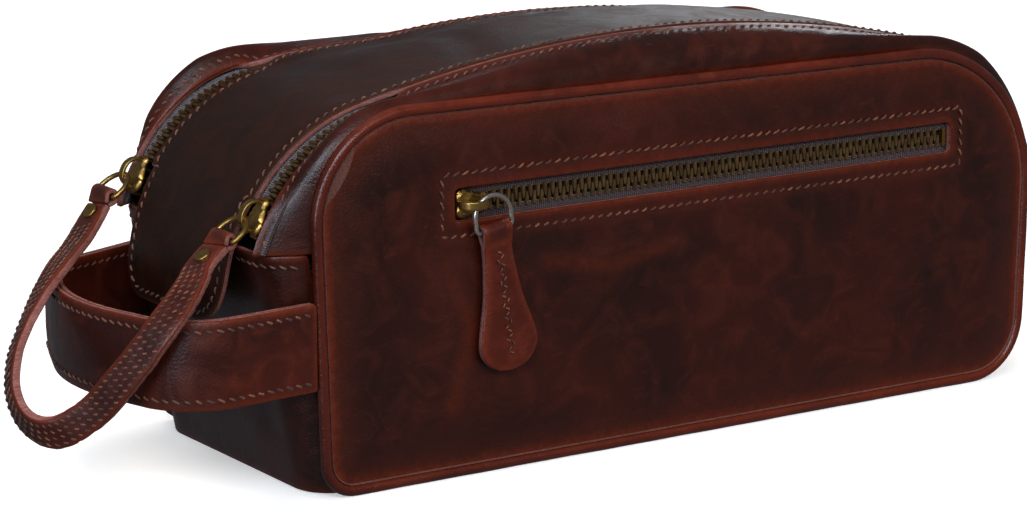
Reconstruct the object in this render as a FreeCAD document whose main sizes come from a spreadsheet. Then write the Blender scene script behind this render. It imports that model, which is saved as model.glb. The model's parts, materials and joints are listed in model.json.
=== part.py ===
"""Leather shaving kit bag: a box of sewn leather panels with a front zip pocket,
a two-zip flap lid, a side carry handle and a pull strap that joins the two main zip pulls.

Frame: X runs along the bag (the handle is at -X), the pocket faces -Y, +Z is up, and the
origin is the middle of the base on the surface that the bag stands on. Millimetres.
"""
import FreeCAD, Part
import math
import os
import Sketcher

SIZES = [
    ("leather", 2.0, "thickness of the shell leather"),
    ("panel_face_y", 49.0, "inner face of the front and back panels"),
    ("piping_radius", 1.6, "radius of the piping cord in its leather"),
    ("piping_y", 48.5, "piping centre line, from the middle plane"),
    ("panel_inset", 1.65, "panel edge inside the piping centre line"),
    ("outline_left_low", 123.6, "piping corner at the bottom of the handle end"),
    ("outline_left_high", 127.2, "piping corner at the top of the handle end"),
    ("outline_right_low", 127.0, "piping corner at the bottom of the far end"),
    ("outline_right_high", 129.5, "piping corner at the top of the far end"),
    ("outline_base_z", 1.6, "piping centre line over the floor"),
    ("outline_left_z", 107.9, "piping top at the handle end"),
    ("outline_right_z", 105.5, "piping top at the far end"),
    ("radius_low_left", 9.0, "piping corner radius, bottom, handle end"),
    ("radius_high_left", 30.0, "piping corner radius, top, handle end"),
    ("radius_high_right", 44.0, "piping corner radius, top, far end"),
    ("radius_low_right", 18.0, "piping corner radius, bottom, far end"),
    ("shoulder_radius", 57.0, "radius of the lid profile over each end"),
    ("crown_radius", 405.0, "radius of the lid profile along the top"),
    ("shoulder_x", 88.0, "shoulder centre, from the middle, handle end"),
    ("shoulder_z", 52.0, "shoulder centre height, handle end"),
    ("crown_left_angle", 14.0, "end of the crown, from upright, handle end"),
    ("crown_right_angle", 14.5, "end of the crown, from upright, far end"),
    ("zip_y", 35.0, "main zip centre line, from the middle plane"),
    ("zip_gap_half", 5.0, "half the gap between gusset and lid"),
    ("gusset_outer_y", 46.8, "gusset edge at the piping"),
    ("end_top_left", 70.0, "top edge of the end panel at the handle end"),
    ("end_top_right", 69.0, "top edge of the end panel at the far end"),
    ("seam_gap", 1.1, "gusset's foot over an end panel's top edge"),
    ("zip_foot", 1.4, "foot of the main zips over an end panel's top edge"),
    ("end_edge_y", 46.5, "side edges of the end panels"),
    ("end_low_left", 125.5, "face of the handle-end panel at the floor"),
    ("end_low_right", 120.5, "face of the far-end panel at the floor"),
    ("end_high_left", 139.4, "face of the handle-end panel at its top edge"),
    ("end_high_right", 137.2, "face of the far-end panel at its top edge"),
    ("end_corner_low", 4.0, "upright corner radius of the end panels at the floor"),
    ("end_corner_left", 12.4, "upright corner radius at the top, handle end"),
    ("end_corner_right", 10.0, "upright corner radius at the top, far end"),
    ("base_gap", 4.2, "base panel's edges inside the end panels' faces"),
    ("gusset_split", 14.0, "stretch of the shoulder that meets the gusset's straight foot"),
    ("cut_clearance", 10.0, "how far a cut runs beyond its piece"),
    ("tape_outer", 2.05, "tape's upper face under the lid profile"),
    ("tape_inner", 2.75, "tape's lower face under the lid profile"),
    ("tape_sewn", 9.0, "far edge of a tape, from the zip centre line"),
    ("teeth_outer", 1.2, "upper face of the teeth under the lid profile"),
    ("teeth_inner", 3.6, "lower face of the teeth under the lid profile"),
    ("teeth_near", 0.9, "inner edge of the teeth, from the zip centre line"),
    ("teeth_far", 2.8, "outer edge of the teeth, from the zip centre line"),
    ("tongue_end_z", 47.0, "free end of the lid's tongue"),
    ("tongue_half", 27.9, "half width of the tongue between the pulls"),
    ("tongue_top_z", 84.0, "where the tongue widens into the lid"),
    ("tongue_corner", 9.0, "corner radius of the tongue's free end"),
    ("lid_end_angle", 23.0, "end of the lid on the far shoulder, over level"),
    ("lid_zip_end", 24.0, "end of the lid's zip tapes on the far shoulder, over level"),
    ("lid_zip_gap", 1.6, "angle between a resting slider and the lid's zip tape"),
    ("teeth_start", 2.2, "angle from the end of a tape to its first tooth"),
    ("lid_lining_left", 40.0, "start of the lid's lining, over level, handle end"),
    ("lid_lining_right", 26.0, "end of the lid's lining, over level, far end"),
    ("lid_lining_gap", 0.1, "gap between the lid's lining and its tapes"),
    ("lining_thickness", 0.6, "lining cloth"),
    ("lining_inset", 3.6, "main lining inside the piping centre line"),
    ("lining_right_low", 119.5, "bottom corner that the lining follows at the far end"),
    ("lining_front_y", 42.6, "main lining's front wall"),
    ("lining_back_y", 48.2, "main lining's back wall"),
    ("mouth_half", 40.6, "half width of the main mouth"),
    ("mouth_z", 84.0, "lowest edge of the main mouth"),
    ("window_left", 83.0, "pocket window, handle end"),
    ("window_right", 95.5, "pocket window, far end"),
    ("window_z", 79.6, "pocket zip height"),
    ("window_half", 4.6, "half height of the pocket window"),
    ("pocket_tape_y", 48.9, "front face of the pocket tape"),
    ("pocket_tape_thick", 0.7, "pocket tape thickness"),
    ("pocket_tape_width", 4.6, "pocket tape width beside its teeth"),
    ("pocket_tape_end", 3.0, "pocket tape's end beyond the window"),
    ("pocket_teeth_y", 49.8, "front face of the pocket teeth"),
    ("teeth_thick", 2.4, "teeth thickness"),
    ("pocket_low_z", 22.0, "bottom of the pocket bag"),
    ("pocket_high_z", 89.0, "top of the pocket bag"),
    ("pocket_left", 90.0, "pocket bag, handle end"),
    ("pocket_right", 102.0, "pocket bag, far end"),
    ("pocket_depth", 5.4, "pocket bag depth, with its back wall"),
    ("handle_low_z", 32.0, "lower edge of the handle"),
    ("handle_width", 25.0, "handle width"),
    ("layer_gap", 0.06, "gap between the handle's two layers"),
    ("slider_length", 11.0, "zip slider length"),
    ("slider_half", 4.2, "half width of a zip slider"),
    ("channel_low", 1.8, "slider channel under the teeth's middle plane"),
    ("channel_high", 1.5, "slider channel over the teeth's middle plane"),
    ("slider_plate", 1.2, "slider plate thickness"),
    ("slider_rim", 0.6, "slider rim thickness"),
    ("slider_rim_drop", 0.8, "slider rim height"),
    ("post_length", 3.0, "length of the slider's post"),
    ("post_half", 0.6, "half width of the slider's post"),
    ("bridge_length", 8.2, "bridge length along the slider"),
    ("bridge_rise", 5.2, "bridge height over the slider's plate"),
    ("bridge_bar", 1.2, "thickness of the bridge's bar"),
    ("bridge_width", 2.4, "bridge width"),
    ("ring_wire", 0.75, "wire radius of a pull ring"),
    ("ring_half", 5.9, "half width of a pull ring, on the wire's centre"),
    ("ring_length", 10.0, "pocket ring length, on the wire's centre"),
    ("main_ring_length", 8.4, "main ring length, on the wire's centre"),
    ("ring_corner", 1.4, "corner radius at the ring's straight bar"),
    ("ring_seat_x", 1.9, "ring's place in the bridge, from the slider's middle"),
    ("ring_seat_z", 5.6, "ring's height over the teeth's middle plane"),
    ("slider_rest", 29.8, "main slider's place on the shoulder, above level"),
    ("ring_hang", 38.0, "main ring's droop below level"),
    ("pull_half", 4.7, "half width of a pull or strap in its ring"),
    ("strap_thick", 2.8, "thickness of the folded pull strap"),
    ("fold_inner", 0.95, "inside radius of a leather fold over a ring"),
    ("fold_outer", 2.5, "outside radius of a leather fold over a ring"),
    ("rivet_shaft", 1.4, "rivet shaft radius"),
    ("rivet_head", 2.4, "rivet head radius"),
    ("rivet_head_thick", 0.7, "rivet head thickness"),
    ("rivet_round", 0.45, "edge radius of the rivet head"),
    ("rivet_step", 2.2, "rivet's place beyond the first point of the strap's route"),
    ("pull_length", 40.0, "pocket pull length, from its ring bar"),
    ("pull_wide", 10.0, "half width of the pocket pull near its end"),
    ("pull_thick", 3.2, "pocket pull thickness"),
    ("pull_sway", 8.0, "sideways tilt of the pocket pull"),
    ("ring_slip", 45.0, "pocket ring's place in its bridge, round from its curved top"),
    ("pocket_slider_x", 77.0, "pocket slider's rest place, from the middle"),
    ("stop_length", 2.0, "length of a zip stop"),
]

doc = FreeCAD.newDocument("shaving_kit_bag")
sheet = doc.addObject("Spreadsheet::Sheet", "sizes")
for row, (alias, number, meaning) in enumerate(SIZES, start=1):
    sheet.set(f"A{row}", meaning)
    sheet.set(f"B{row}", str(number))
    sheet.setAlias(f"B{row}", alias)
doc.recompute()

parts = []
X_AXIS = FreeCAD.Vector(1, 0, 0)
Y_AXIS = FreeCAD.Vector(0, 1, 0)
Z_AXIS = FreeCAD.Vector(0, 0, 1)


def size(alias):
    """A driving dimension, read from the sheet."""
    return float(sheet.get(alias))


# ---------------------------------------------------------------- plane curves
# A chain is a list of segments that follow one another in a plane:
# ("line", start, end) or ("arc", centre, radius, start angle, end angle, size name).
# An arc whose end angle is the smaller one turns clockwise.


def polar(centre, radius, angle):
    return (centre[0] + radius * math.cos(angle), centre[1] + radius * math.sin(angle))


def start_of(segment):
    if segment[0] == "line":
        return segment[1]
    return polar(segment[1], segment[2], segment[3])


def end_of(segment):
    if segment[0] == "line":
        return segment[2]
    return polar(segment[1], segment[2], segment[4])


def unit(a, b):
    length = math.hypot(b[0] - a[0], b[1] - a[1])
    return ((b[0] - a[0]) / length, (b[1] - a[1]) / length)


def rounded(points, radii, closed, names=None):
    """Straight runs between points, with a tangent arc at each corner."""
    count = len(points)
    corners = range(count) if closed else range(1, count - 1)
    arcs = {}
    for i in corners:
        before = points[i - 1]
        after = points[(i + 1) % count]
        u = unit(before, points[i])
        v = unit(points[i], after)
        cross = u[0] * v[1] - u[1] * v[0]
        turn = math.atan2(cross, u[0] * v[0] + u[1] * v[1])
        side = math.copysign(1.0, turn)
        cut = radii[i] * math.tan(abs(turn) / 2)
        first = (points[i][0] - u[0] * cut, points[i][1] - u[1] * cut)
        centre = (first[0] - side * u[1] * radii[i], first[1] + side * u[0] * radii[i])
        begin = math.atan2(first[1] - centre[1], first[0] - centre[0])
        name = names[i] if names else None
        arcs[i] = ("arc", centre, radii[i], begin, begin + turn, name)
    chain = []
    here = None if closed else points[0]
    for i in corners:
        if here is not None:
            chain.append(("line", here, start_of(arcs[i])))
        chain.append(arcs[i])
        here = end_of(arcs[i])
    last = start_of(arcs[0]) if closed else points[-1]
    chain.append(("line", here, last))
    return chain


def moved_aside(chain, distance):
    """The chain shifted to its left by distance, or to its right if negative."""
    shifted = []
    for segment in chain:
        if segment[0] == "line":
            u = unit(segment[1], segment[2])
            step = (-u[1] * distance, u[0] * distance)
            a = (segment[1][0] + step[0], segment[1][1] + step[1])
            b = (segment[2][0] + step[0], segment[2][1] + step[1])
            shifted.append(("line", a, b))
        else:
            side = 1 if segment[4] > segment[3] else -1
            radius = segment[2] - side * distance
            shifted.append(("arc", segment[1], radius, segment[3], segment[4], None))
    return shifted


def backwards(chain):
    turned = []
    for segment in reversed(chain):
        if segment[0] == "line":
            turned.append(("line", segment[2], segment[1]))
        else:
            kind, centre, radius, begin, end, name = segment
            turned.append((kind, centre, radius, end, begin, name))
    return turned


def strip(chain, near, far):
    """A closed band along a chain, between two distances to its left."""
    out = moved_aside(chain, near) if near else list(chain)
    back = backwards(moved_aside(chain, far) if far else list(chain))
    caps = ("line", end_of(out[-1]), start_of(back[0])), ("line", end_of(back[-1]), start_of(out[0]))
    return out + [caps[0]] + back + [caps[1]]


def box_chain(x_low, z_low, x_high, z_high):
    corners = [(x_low, z_low), (x_high, z_low), (x_high, z_high), (x_low, z_high)]
    return [("line", corners[i], corners[(i + 1) % 4]) for i in range(4)]


# ------------------------------------------------------------ document objects


def new_body(label):
    body = doc.addObject("PartDesign::Body", label)
    body.Label = label
    parts.append(body)
    return body


def new_sketch(body, plane, chain, height=None):
    """A sketch of one chain on an origin plane of its own body, lifted by a sheet expression."""
    sketch = body.newObject("Sketcher::SketchObject", "outline")
    origin = [f for f in body.Origin.OriginFeatures if f.Role == plane][0]
    sketch.AttachmentSupport = [(origin, "")]
    sketch.MapMode = "FlatFace"
    if height:
        sketch.setExpression("AttachmentOffset.Base.z", height)
    ends = []
    for segment in chain:
        if segment[0] == "line":
            a = FreeCAD.Vector(*segment[1], 0)
            b = FreeCAD.Vector(*segment[2], 0)
            index = sketch.addGeometry(Part.LineSegment(a, b), False)
            ends.append((index, 1, 2))
        else:
            circle = Part.Circle(FreeCAD.Vector(*segment[1], 0), Z_AXIS, segment[2])
            forward = segment[4] > segment[3]
            low, high = sorted(segment[3:5])
            index = sketch.addGeometry(Part.ArcOfCircle(circle, low, high), False)
            ends.append((index, 1, 2) if forward else (index, 2, 1))
            number = sketch.addConstraint(Sketcher.Constraint("Radius", index, segment[2]))
            if segment[5]:
                sketch.setExpression(f"Constraints[{number}]", f"sizes.{segment[5]}")
    following = ends[1:] + ends[:1]
    closed = math.dist(end_of(chain[-1]), start_of(chain[0])) < 1e-6
    pairs = list(zip(ends, following)) if closed else list(zip(ends, following))[:-1]
    for one, two in pairs:
        sketch.addConstraint(Sketcher.Constraint("Coincident", one[0], one[2], two[0], two[1]))
    return sketch


def circle_sketch(body, plane, centre, radius_name, height=None):
    sketch = body.newObject("Sketcher::SketchObject", "section")
    origin = [f for f in body.Origin.OriginFeatures if f.Role == plane][0]
    sketch.AttachmentSupport = [(origin, "")]
    sketch.MapMode = "FlatFace"
    if height:
        sketch.setExpression("AttachmentOffset.Base.z", height)
    centre = FreeCAD.Vector(*centre, 0)
    sketch.addGeometry(Part.Circle(centre, Z_AXIS, size(radius_name)), False)
    number = sketch.addConstraint(Sketcher.Constraint("Radius", 0, size(radius_name)))
    sketch.setExpression(f"Constraints[{number}]", f"sizes.{radius_name}")
    return sketch


def pad(body, sketch, length):
    feature = body.newObject("PartDesign::Pad", "pad")
    feature.Profile = sketch
    feature.setExpression("Length", length)
    return feature


def cut(body, sketch, length):
    """Remove the outline from the sketch upwards, along the plane's normal."""
    feature = body.newObject("PartDesign::Pocket", "cut")
    feature.Profile = sketch
    feature.Reversed = True
    feature.setExpression("Length", length)
    return feature


def plate(label, plane, chain, height, length):
    body = new_body(label)
    pad(body, new_sketch(body, plane, chain, height), length)
    return body


def loft(label, plane, first, first_height, second, second_height):
    body = new_body(label)
    feature = body.newObject("PartDesign::AdditiveLoft", "loft")
    feature.Profile = new_sketch(body, plane, first, first_height)
    feature.Sections = [new_sketch(body, plane, second, second_height)]
    feature.Ruled = True
    return body


def pipe(body, spine, section):
    feature = body.newObject("PartDesign::AdditivePipe", "pipe")
    feature.Profile = section
    feature.Spine = (spine, [])
    return feature


def slab_heights(side, near, far):
    """Sketch height and pad length of a slab between two distances from the middle plane.

    The normal of the XZ plane is -Y, so the front of the bag (side -1) is at positive heights.
    """
    height = near if side < 0 else f"-({far})"
    return height, f"({far}) - ({near})"


def side_slab(label, side, chain, near, far):
    height, length = slab_heights(side, near, far)
    return plate(label, "XZ_Plane", chain, height, length)


def solid(label, shape, placement=None):
    """A piece whose double curvature needs Part's own functions."""
    feature = doc.addObject("Part::Feature", label)
    feature.Label = label
    feature.Shape = shape
    if placement:
        feature.Placement = placement
    parts.append(feature)
    return feature


# ------------------------------------------------------------------- outlines
LEATHER = size("leather")
CLEAR = size("cut_clearance")

OUTLINE_POINTS = [
    (-size("outline_left_low"), size("outline_base_z")),
    (size("outline_right_low"), size("outline_base_z")),
    (size("outline_right_high"), size("outline_right_z")),
    (-size("outline_left_high"), size("outline_left_z")),
]
OUTLINE_NAMES = ["radius_low_left", "radius_low_right", "radius_high_right", "radius_high_left"]
OUTLINE = rounded(OUTLINE_POINTS, [size(name) for name in OUTLINE_NAMES], True, OUTLINE_NAMES)

crown_start = math.radians(90 + size("crown_left_angle"))
crown_end = math.radians(90 - size("crown_right_angle"))
SHOULDER_LEFT = (-size("shoulder_x"), size("shoulder_z"))
CROWN_CENTRE = polar(SHOULDER_LEFT, size("shoulder_radius") - size("crown_radius"), crown_start)
SHOULDER_RIGHT = polar(CROWN_CENTRE, size("crown_radius") - size("shoulder_radius"), crown_end)


def lid_profile(left_angle, right_angle):
    """The line of the lid and zips, from the handle end over the top to the far end.

    The angles are heights over level at the two shoulders, in degrees.
    """
    start = math.pi - math.radians(left_angle)
    end = math.radians(right_angle)
    return [
        ("arc", SHOULDER_LEFT, size("shoulder_radius"), start, crown_start, "shoulder_radius"),
        ("arc", CROWN_CENTRE, size("crown_radius"), crown_start, crown_end, "crown_radius"),
        ("arc", SHOULDER_RIGHT, size("shoulder_radius"), crown_end, end, "shoulder_radius"),
    ]


def level_at(shoulder, z):
    """Angle over level, in degrees, where a shoulder's arc is at height z."""
    return math.degrees(math.asin((z - shoulder[1]) / size("shoulder_radius")))


# ---------------------------------------------------------------- sewn panels
def make_panels():
    inside = moved_aside(OUTLINE, size("panel_inset"))
    far = "sizes.panel_face_y + sizes.leather"
    front = side_slab("front_panel", -1, inside, "sizes.panel_face_y", far)
    z = size("window_z")
    half = size("window_half")
    window = box_chain(-size("window_left"), z - half, size("window_right"), z + half)
    sketch = new_sketch(front, "XZ_Plane", window, "sizes.panel_face_y")
    cut(front, sketch, "sizes.leather")
    side_slab("back_panel", 1, inside, "sizes.panel_face_y", far)


def make_piping():
    corner, low = OUTLINE[0], OUTLINE[1]
    middle = ((low[1][0] + low[2][0]) / 2, low[1][1])
    ordered = [("line", middle, low[2])] + OUTLINE[2:] + [corner, ("line", low[1], middle)]
    for label, side in (("front_piping", -1), ("back_piping", 1)):
        body = new_body(label)
        sign = "" if side < 0 else "-"
        spine = new_sketch(body, "XZ_Plane", ordered, f"{sign}sizes.piping_y")
        centre = (side * size("piping_y"), middle[1])
        section = circle_sketch(body, "YZ_Plane", centre, "piping_radius", f"{middle[0]}")
        pipe(body, spine, section)


def end_plan(flat, corner, edge, direction):
    """Plan of an end panel at one height: a flat middle with rounded sides."""
    points = [(flat - direction * corner, -edge), (flat, -edge), (flat, edge)]
    points.append((flat - direction * corner, edge))
    chain = rounded(points, [0, corner, corner, 0], False)
    chain = [s for s in chain if s[0] == "arc" or math.dist(s[1], s[2]) > 1e-6]
    return strip(chain, 0, direction * LEATHER)


def make_ends():
    edge = size("end_edge_y")
    corner = size("end_corner_low")
    for name, direction in (("left", -1), ("right", 1)):
        low = end_plan(direction * size(f"end_low_{name}"), corner, edge, direction)
        high_x = direction * size(f"end_high_{name}")
        high = end_plan(high_x, size(f"end_corner_{name}"), edge, direction)
        loft(f"{name}_end_panel", "XY_Plane", low, "0", high, f"sizes.end_top_{name}")
    left = size("base_gap") - size("end_low_left")
    right = size("end_low_right") - size("base_gap")
    plate("base_panel", "XY_Plane", box_chain(left, -edge, right, edge), "0", "sizes.leather")


def make_gussets():
    left_top = size("end_top_left") + size("seam_gap")
    right_top = size("end_top_right") + size("seam_gap")
    corner_right, line_top, corner_left, line_left = OUTLINE[4:8]
    centre, radius = corner_right[1], corner_right[2]
    right_start = math.asin((right_top - centre[1]) / radius)
    share = (left_top - line_left[2][1]) / (line_left[1][1] - line_left[2][1])
    foot_x = line_left[2][0] + share * (line_left[1][0] - line_left[2][0])
    outer = backwards([
        ("arc", centre, radius, right_start, corner_right[4], None),
        line_top,
        corner_left,
        ("line", end_of(corner_left), (foot_x, left_top)),
    ])
    left = level_at(SHOULDER_LEFT, left_top)
    right = level_at(SHOULDER_RIGHT, right_top)
    whole = lid_profile(left, right)
    first = whole[0]
    split = first[3] - math.radians(size("gusset_split"))
    inner = [
        ("arc", first[1], first[2], first[3], split, None),
        ("arc", first[1], first[2], split, first[4], None),
    ] + whole[1:]
    for label, side in (("front_gusset", -1), ("back_gusset", 1)):
        sign = "" if side < 0 else "-"
        outer_height = f"{sign}sizes.gusset_outer_y"
        inner_height = f"{sign}(sizes.zip_y + sizes.zip_gap_half)"
        first_section = strip(outer, 0, -LEATHER)
        second_section = strip(inner, 0, -LEATHER)
        loft(label, "XZ_Plane", first_section, outer_height, second_section, inner_height)


# ------------------------------------------------------------------ main zips
REST = size("slider_rest")
SLIDER_SPAN = math.degrees(size("slider_length") / 2 / size("shoulder_radius"))


def zip_strip(label, side, inward, left, right, faces, edges):
    """A zip's tape or teeth: a band under the lid profile on one side of the zip's centre line."""
    chain = strip(lid_profile(left, right), -size(faces[0]), -size(faces[1]))
    sign = "-" if inward else "+"
    near, far = (edges[1], edges[0]) if inward else edges
    near = f"sizes.zip_y {sign} sizes.{near}"
    far = f"sizes.zip_y {sign} sizes.{far}"
    side_slab(label, side, chain, near, far)


def make_main_zips():
    tape = ("tape_outer", "tape_inner")
    teeth = ("teeth_outer", "teeth_inner")
    left = level_at(SHOULDER_LEFT, size("end_top_left") + size("zip_foot"))
    right = level_at(SHOULDER_RIGHT, size("end_top_right") + size("zip_foot"))
    lid_left = REST + SLIDER_SPAN + size("lid_zip_gap")
    lid_right = size("lid_zip_end")
    start = size("teeth_start")
    for name, side in (("front", -1), ("back", 1)):
        zip_strip(f"{name}_outer_tape", side, False, left, right, tape,
                  ("teeth_far", "zip_gap_half"))
        zip_strip(f"{name}_outer_teeth", side, False, left + start, right + start, teeth,
                  ("teeth_near", "teeth_far"))
        zip_strip(f"{name}_inner_tape", side, True, lid_left, lid_right, tape,
                  ("teeth_far", "tape_sewn"))
        zip_strip(f"{name}_inner_teeth", side, True, lid_left, lid_right, teeth,
                  ("teeth_near", "teeth_far"))


def make_main_stops():
    """A stop clamped on the gusset side of each main zip's tape, at the far end."""
    right = level_at(SHOULDER_RIGHT, size("end_top_right") + size("zip_foot"))
    stop_angle = math.degrees(size("stop_length") / size("shoulder_radius"))
    high = math.radians(right + stop_angle)
    low = math.radians(right)
    arc = [("arc", SHOULDER_RIGHT, size("shoulder_radius"), high, low, None)]
    chain = strip(arc, -size("teeth_outer"), -size("teeth_inner"))
    for name, side in (("front", -1), ("back", 1)):
        side_slab(f"{name}_zip_stop", side, chain,
                  "sizes.zip_y + sizes.teeth_near", "sizes.zip_y + sizes.teeth_far")


# ------------------------------------------------------------------------ lid
def make_lid():
    leftmost = SHOULDER_LEFT[0] - size("shoulder_radius")
    tongue = ("line", (leftmost, size("tongue_end_z")), (leftmost, SHOULDER_LEFT[1]))
    outline = strip([tongue] + lid_profile(0.0, size("lid_end_angle")), 0, -LEATHER)
    half = "(sizes.zip_y - sizes.zip_gap_half)"
    body = plate("lid_panel", "XZ_Plane", outline, f"-{half}", f"2 * {half}")
    far_x = leftmost - CLEAR
    shoulder = box_chain(far_x, size("tongue_end_z") - CLEAR, SHOULDER_LEFT[0], size("tongue_top_z"))
    width = "sizes.cut_clearance"
    for height in ("sizes.tongue_half", f"-(sizes.tongue_half + {width})"):
        cut(body, new_sketch(body, "XZ_Plane", shoulder, height), width)
    end, radius = size("tongue_end_z"), size("tongue_corner")
    for side in (-1, 1):
        edge = side * size("tongue_half")
        centre = (edge - side * radius, end + radius)
        outside = (edge + side, end - 1)
        first, last = (0.0, -math.pi / 2) if side > 0 else (-math.pi, -math.pi / 2)
        corner = [
            ("arc", centre, radius, first, last, "tongue_corner"),
            ("line", (centre[0], end), (centre[0], outside[1])),
            ("line", (centre[0], outside[1]), outside),
            ("line", outside, (outside[0], centre[1])),
            ("line", (outside[0], centre[1]), (edge, centre[1])),
        ]
        cut(body, new_sketch(body, "YZ_Plane", corner, f"{far_x}"), "2 * sizes.cut_clearance")

    line = lid_profile(size("lid_lining_left"), size("lid_lining_right"))
    top = size("tape_outer")
    lining = strip(line, -top, -top - size("lining_thickness"))
    inside = "(sizes.zip_y - sizes.tape_sewn - sizes.lid_lining_gap)"
    plate("lid_lining", "XZ_Plane", lining, f"-{inside}", f"2 * {inside}")


# --------------------------------------------------------------------- linings
def make_linings():
    inset = size("lining_inset")
    corners = list(OUTLINE_POINTS)
    corners[1] = (size("lining_right_low"), size("outline_base_z"))
    outline = rounded(corners, [size(name) for name in OUTLINE_NAMES], True)
    outer = moved_aside(outline, inset)
    inner = moved_aside(outline, inset + size("lining_thickness"))
    body = new_body("main_lining")
    back = "sizes.lining_back_y"
    depth = "sizes.lining_back_y + sizes.lining_front_y"
    pad(body, new_sketch(body, "XZ_Plane", outer, f"-{back}"), depth)
    hollow = new_sketch(body, "XZ_Plane", inner, f"-{back} + sizes.lining_thickness")
    cut(body, hollow, f"{depth} - 2 * sizes.lining_thickness")
    mouth = box_chain(-size("outline_left_high"), size("mouth_z"),
                      size("outline_right_high"), size("outline_left_z"))
    cut(body, new_sketch(body, "XZ_Plane", mouth, "-sizes.mouth_half"), "2 * sizes.mouth_half")

    low, high = size("pocket_low_z"), size("pocket_high_z")
    left, right = -size("pocket_left"), size("pocket_right")
    body = new_body("pocket_lining")
    base = "sizes.panel_face_y - sizes.pocket_depth"
    bag = new_sketch(body, "XZ_Plane", box_chain(left, low, right, high), base)
    pad(body, bag, "sizes.pocket_depth - 0.05")
    wall = size("lining_thickness")
    inside = box_chain(left + wall, low + wall, right - wall, high - wall)
    hollow = new_sketch(body, "XZ_Plane", inside, f"{base} + sizes.lining_thickness")
    cut(body, hollow, "sizes.pocket_depth")


# ------------------------------------------------------------------ pocket zip
def make_pocket_zip():
    z = size("window_z")
    left, right = -size("window_left"), size("window_right")
    near, far = size("teeth_near"), size("teeth_far")
    back_y = "sizes.pocket_tape_y - sizes.pocket_tape_thick"
    teeth_back = "sizes.pocket_teeth_y - sizes.teeth_thick"
    for name, up in (("upper", 1), ("lower", -1)):
        band = sorted((z + up * far, z + up * (far + size("pocket_tape_width"))))
        end = size("pocket_tape_end")
        tape = box_chain(left - end, band[0], right + end, band[1])
        side_slab(f"pocket_{name}_tape", -1, tape, back_y, "sizes.pocket_tape_y")
        row = sorted((z + up * near, z + up * far))
        teeth = box_chain(left + 1, row[0], right - 2, row[1])
        side_slab(f"pocket_{name}_teeth", -1, teeth, teeth_back, "sizes.pocket_teeth_y")
    stop = box_chain(right - 1.6, z - far, right - 0.4, z + far)
    side_slab("pocket_zip_stop", -1, stop, teeth_back, "sizes.pocket_teeth_y")


# -------------------------------------------------------------- sliders, rings
def slider_outline():
    length, half = size("slider_length") / 2, size("slider_half")
    corners = [(-length, -half), (length, -half), (length, half), (-length, half)]
    return rounded(corners, [1.5] * 4, True)


def make_slider(label, placement):
    """A slider in its own frame: X along the zip, Y across it, Z out of the bag.

    Two plates with rims hold the teeth, and the post between them parts the two rows.
    """
    body = new_body(label)
    outline = slider_outline()
    bottom = "-(sizes.channel_low + sizes.slider_plate)"
    pad(body, new_sketch(body, "XY_Plane", outline, bottom), "sizes.slider_plate")
    front = size("slider_length") / 2 - 0.4
    half = size("post_half")
    post = box_chain(front - size("post_length"), -half, front, half)
    channel = "sizes.channel_low + sizes.channel_high"
    pad(body, new_sketch(body, "XY_Plane", post, "-sizes.channel_low"), channel)
    pad(body, new_sketch(body, "XY_Plane", outline, "sizes.channel_high"), "sizes.slider_plate")
    run = size("slider_length") / 2 - 1.6
    for side in (-1, 1):
        edges = sorted((side * size("slider_half"), side * (size("slider_half") - size("slider_rim"))))
        rim = box_chain(-run, edges[0], run, edges[1])
        lift = "sizes.channel_high - sizes.slider_rim_drop"
        pad(body, new_sketch(body, "XY_Plane", rim, lift), "sizes.slider_rim_drop")
        pad(body, new_sketch(body, "XY_Plane", rim, "-sizes.channel_low"), "sizes.slider_rim_drop")
    body.Placement = placement

    body = new_body(f"{label}_bridge")
    floor = size("channel_high") + size("slider_plate")
    top = floor + size("bridge_rise")
    half = size("bridge_length") / 2
    arch = rounded([(-half, floor), (half, floor), (half, top), (-half, top)],
                   [0.1, 0.1, 2.0, 2.0], True)
    width = "sizes.bridge_width"
    pad(body, new_sketch(body, "XZ_Plane", arch, f"-{width} / 2"), width)
    bar = size("bridge_bar")
    hole = box_chain(-half + bar, floor - 0.5, half - bar, top - bar)
    cut(body, new_sketch(body, "XZ_Plane", hole, f"-{width}"), f"2 * {width}")
    body.Placement = placement


def make_ring(label, length, placement):
    """A D ring in its own frame: the curved top at the origin, the straight bar at +X."""
    half, corner = size("ring_half"), size("ring_corner")
    quarter = math.pi / 2
    path = [
        ("arc", (half, 0), half, 2 * quarter, 3 * quarter, "ring_half"),
        ("line", (half, -half), (length - corner, -half)),
        ("arc", (length - corner, corner - half), corner, -quarter, 0.0, "ring_corner"),
        ("line", (length, corner - half), (length, half - corner)),
        ("arc", (length - corner, half - corner), corner, 0.0, quarter, "ring_corner"),
        ("line", (length - corner, half), (half, half)),
        ("arc", (half, 0), half, quarter, 2 * quarter, "ring_half"),
    ]
    body = new_body(label)
    spine = new_sketch(body, "XY_Plane", path)
    pipe(body, spine, circle_sketch(body, "XZ_Plane", (0, 0), "ring_wire"))
    body.Placement = placement


SEAT = FreeCAD.Vector(-size("ring_seat_x"), 0, size("ring_seat_z"))
TEETH_DEPTH = (size("teeth_outer") + size("teeth_inner")) / 2


def main_slider_placement(side):
    """The slider at its closed end, on the shoulder at the handle end."""
    angle = math.pi - math.radians(REST)
    x, z = polar(SHOULDER_LEFT, size("shoulder_radius") - TEETH_DEPTH, angle)
    place = FreeCAD.Vector(x, side * size("zip_y"), z)
    return FreeCAD.Placement(place, FreeCAD.Rotation(Y_AXIS, REST - 90))


def main_ring_placement(side):
    seat = main_slider_placement(side).multVec(SEAT)
    return FreeCAD.Placement(seat, FreeCAD.Rotation(Y_AXIS, 180 - size("ring_hang")))


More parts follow.
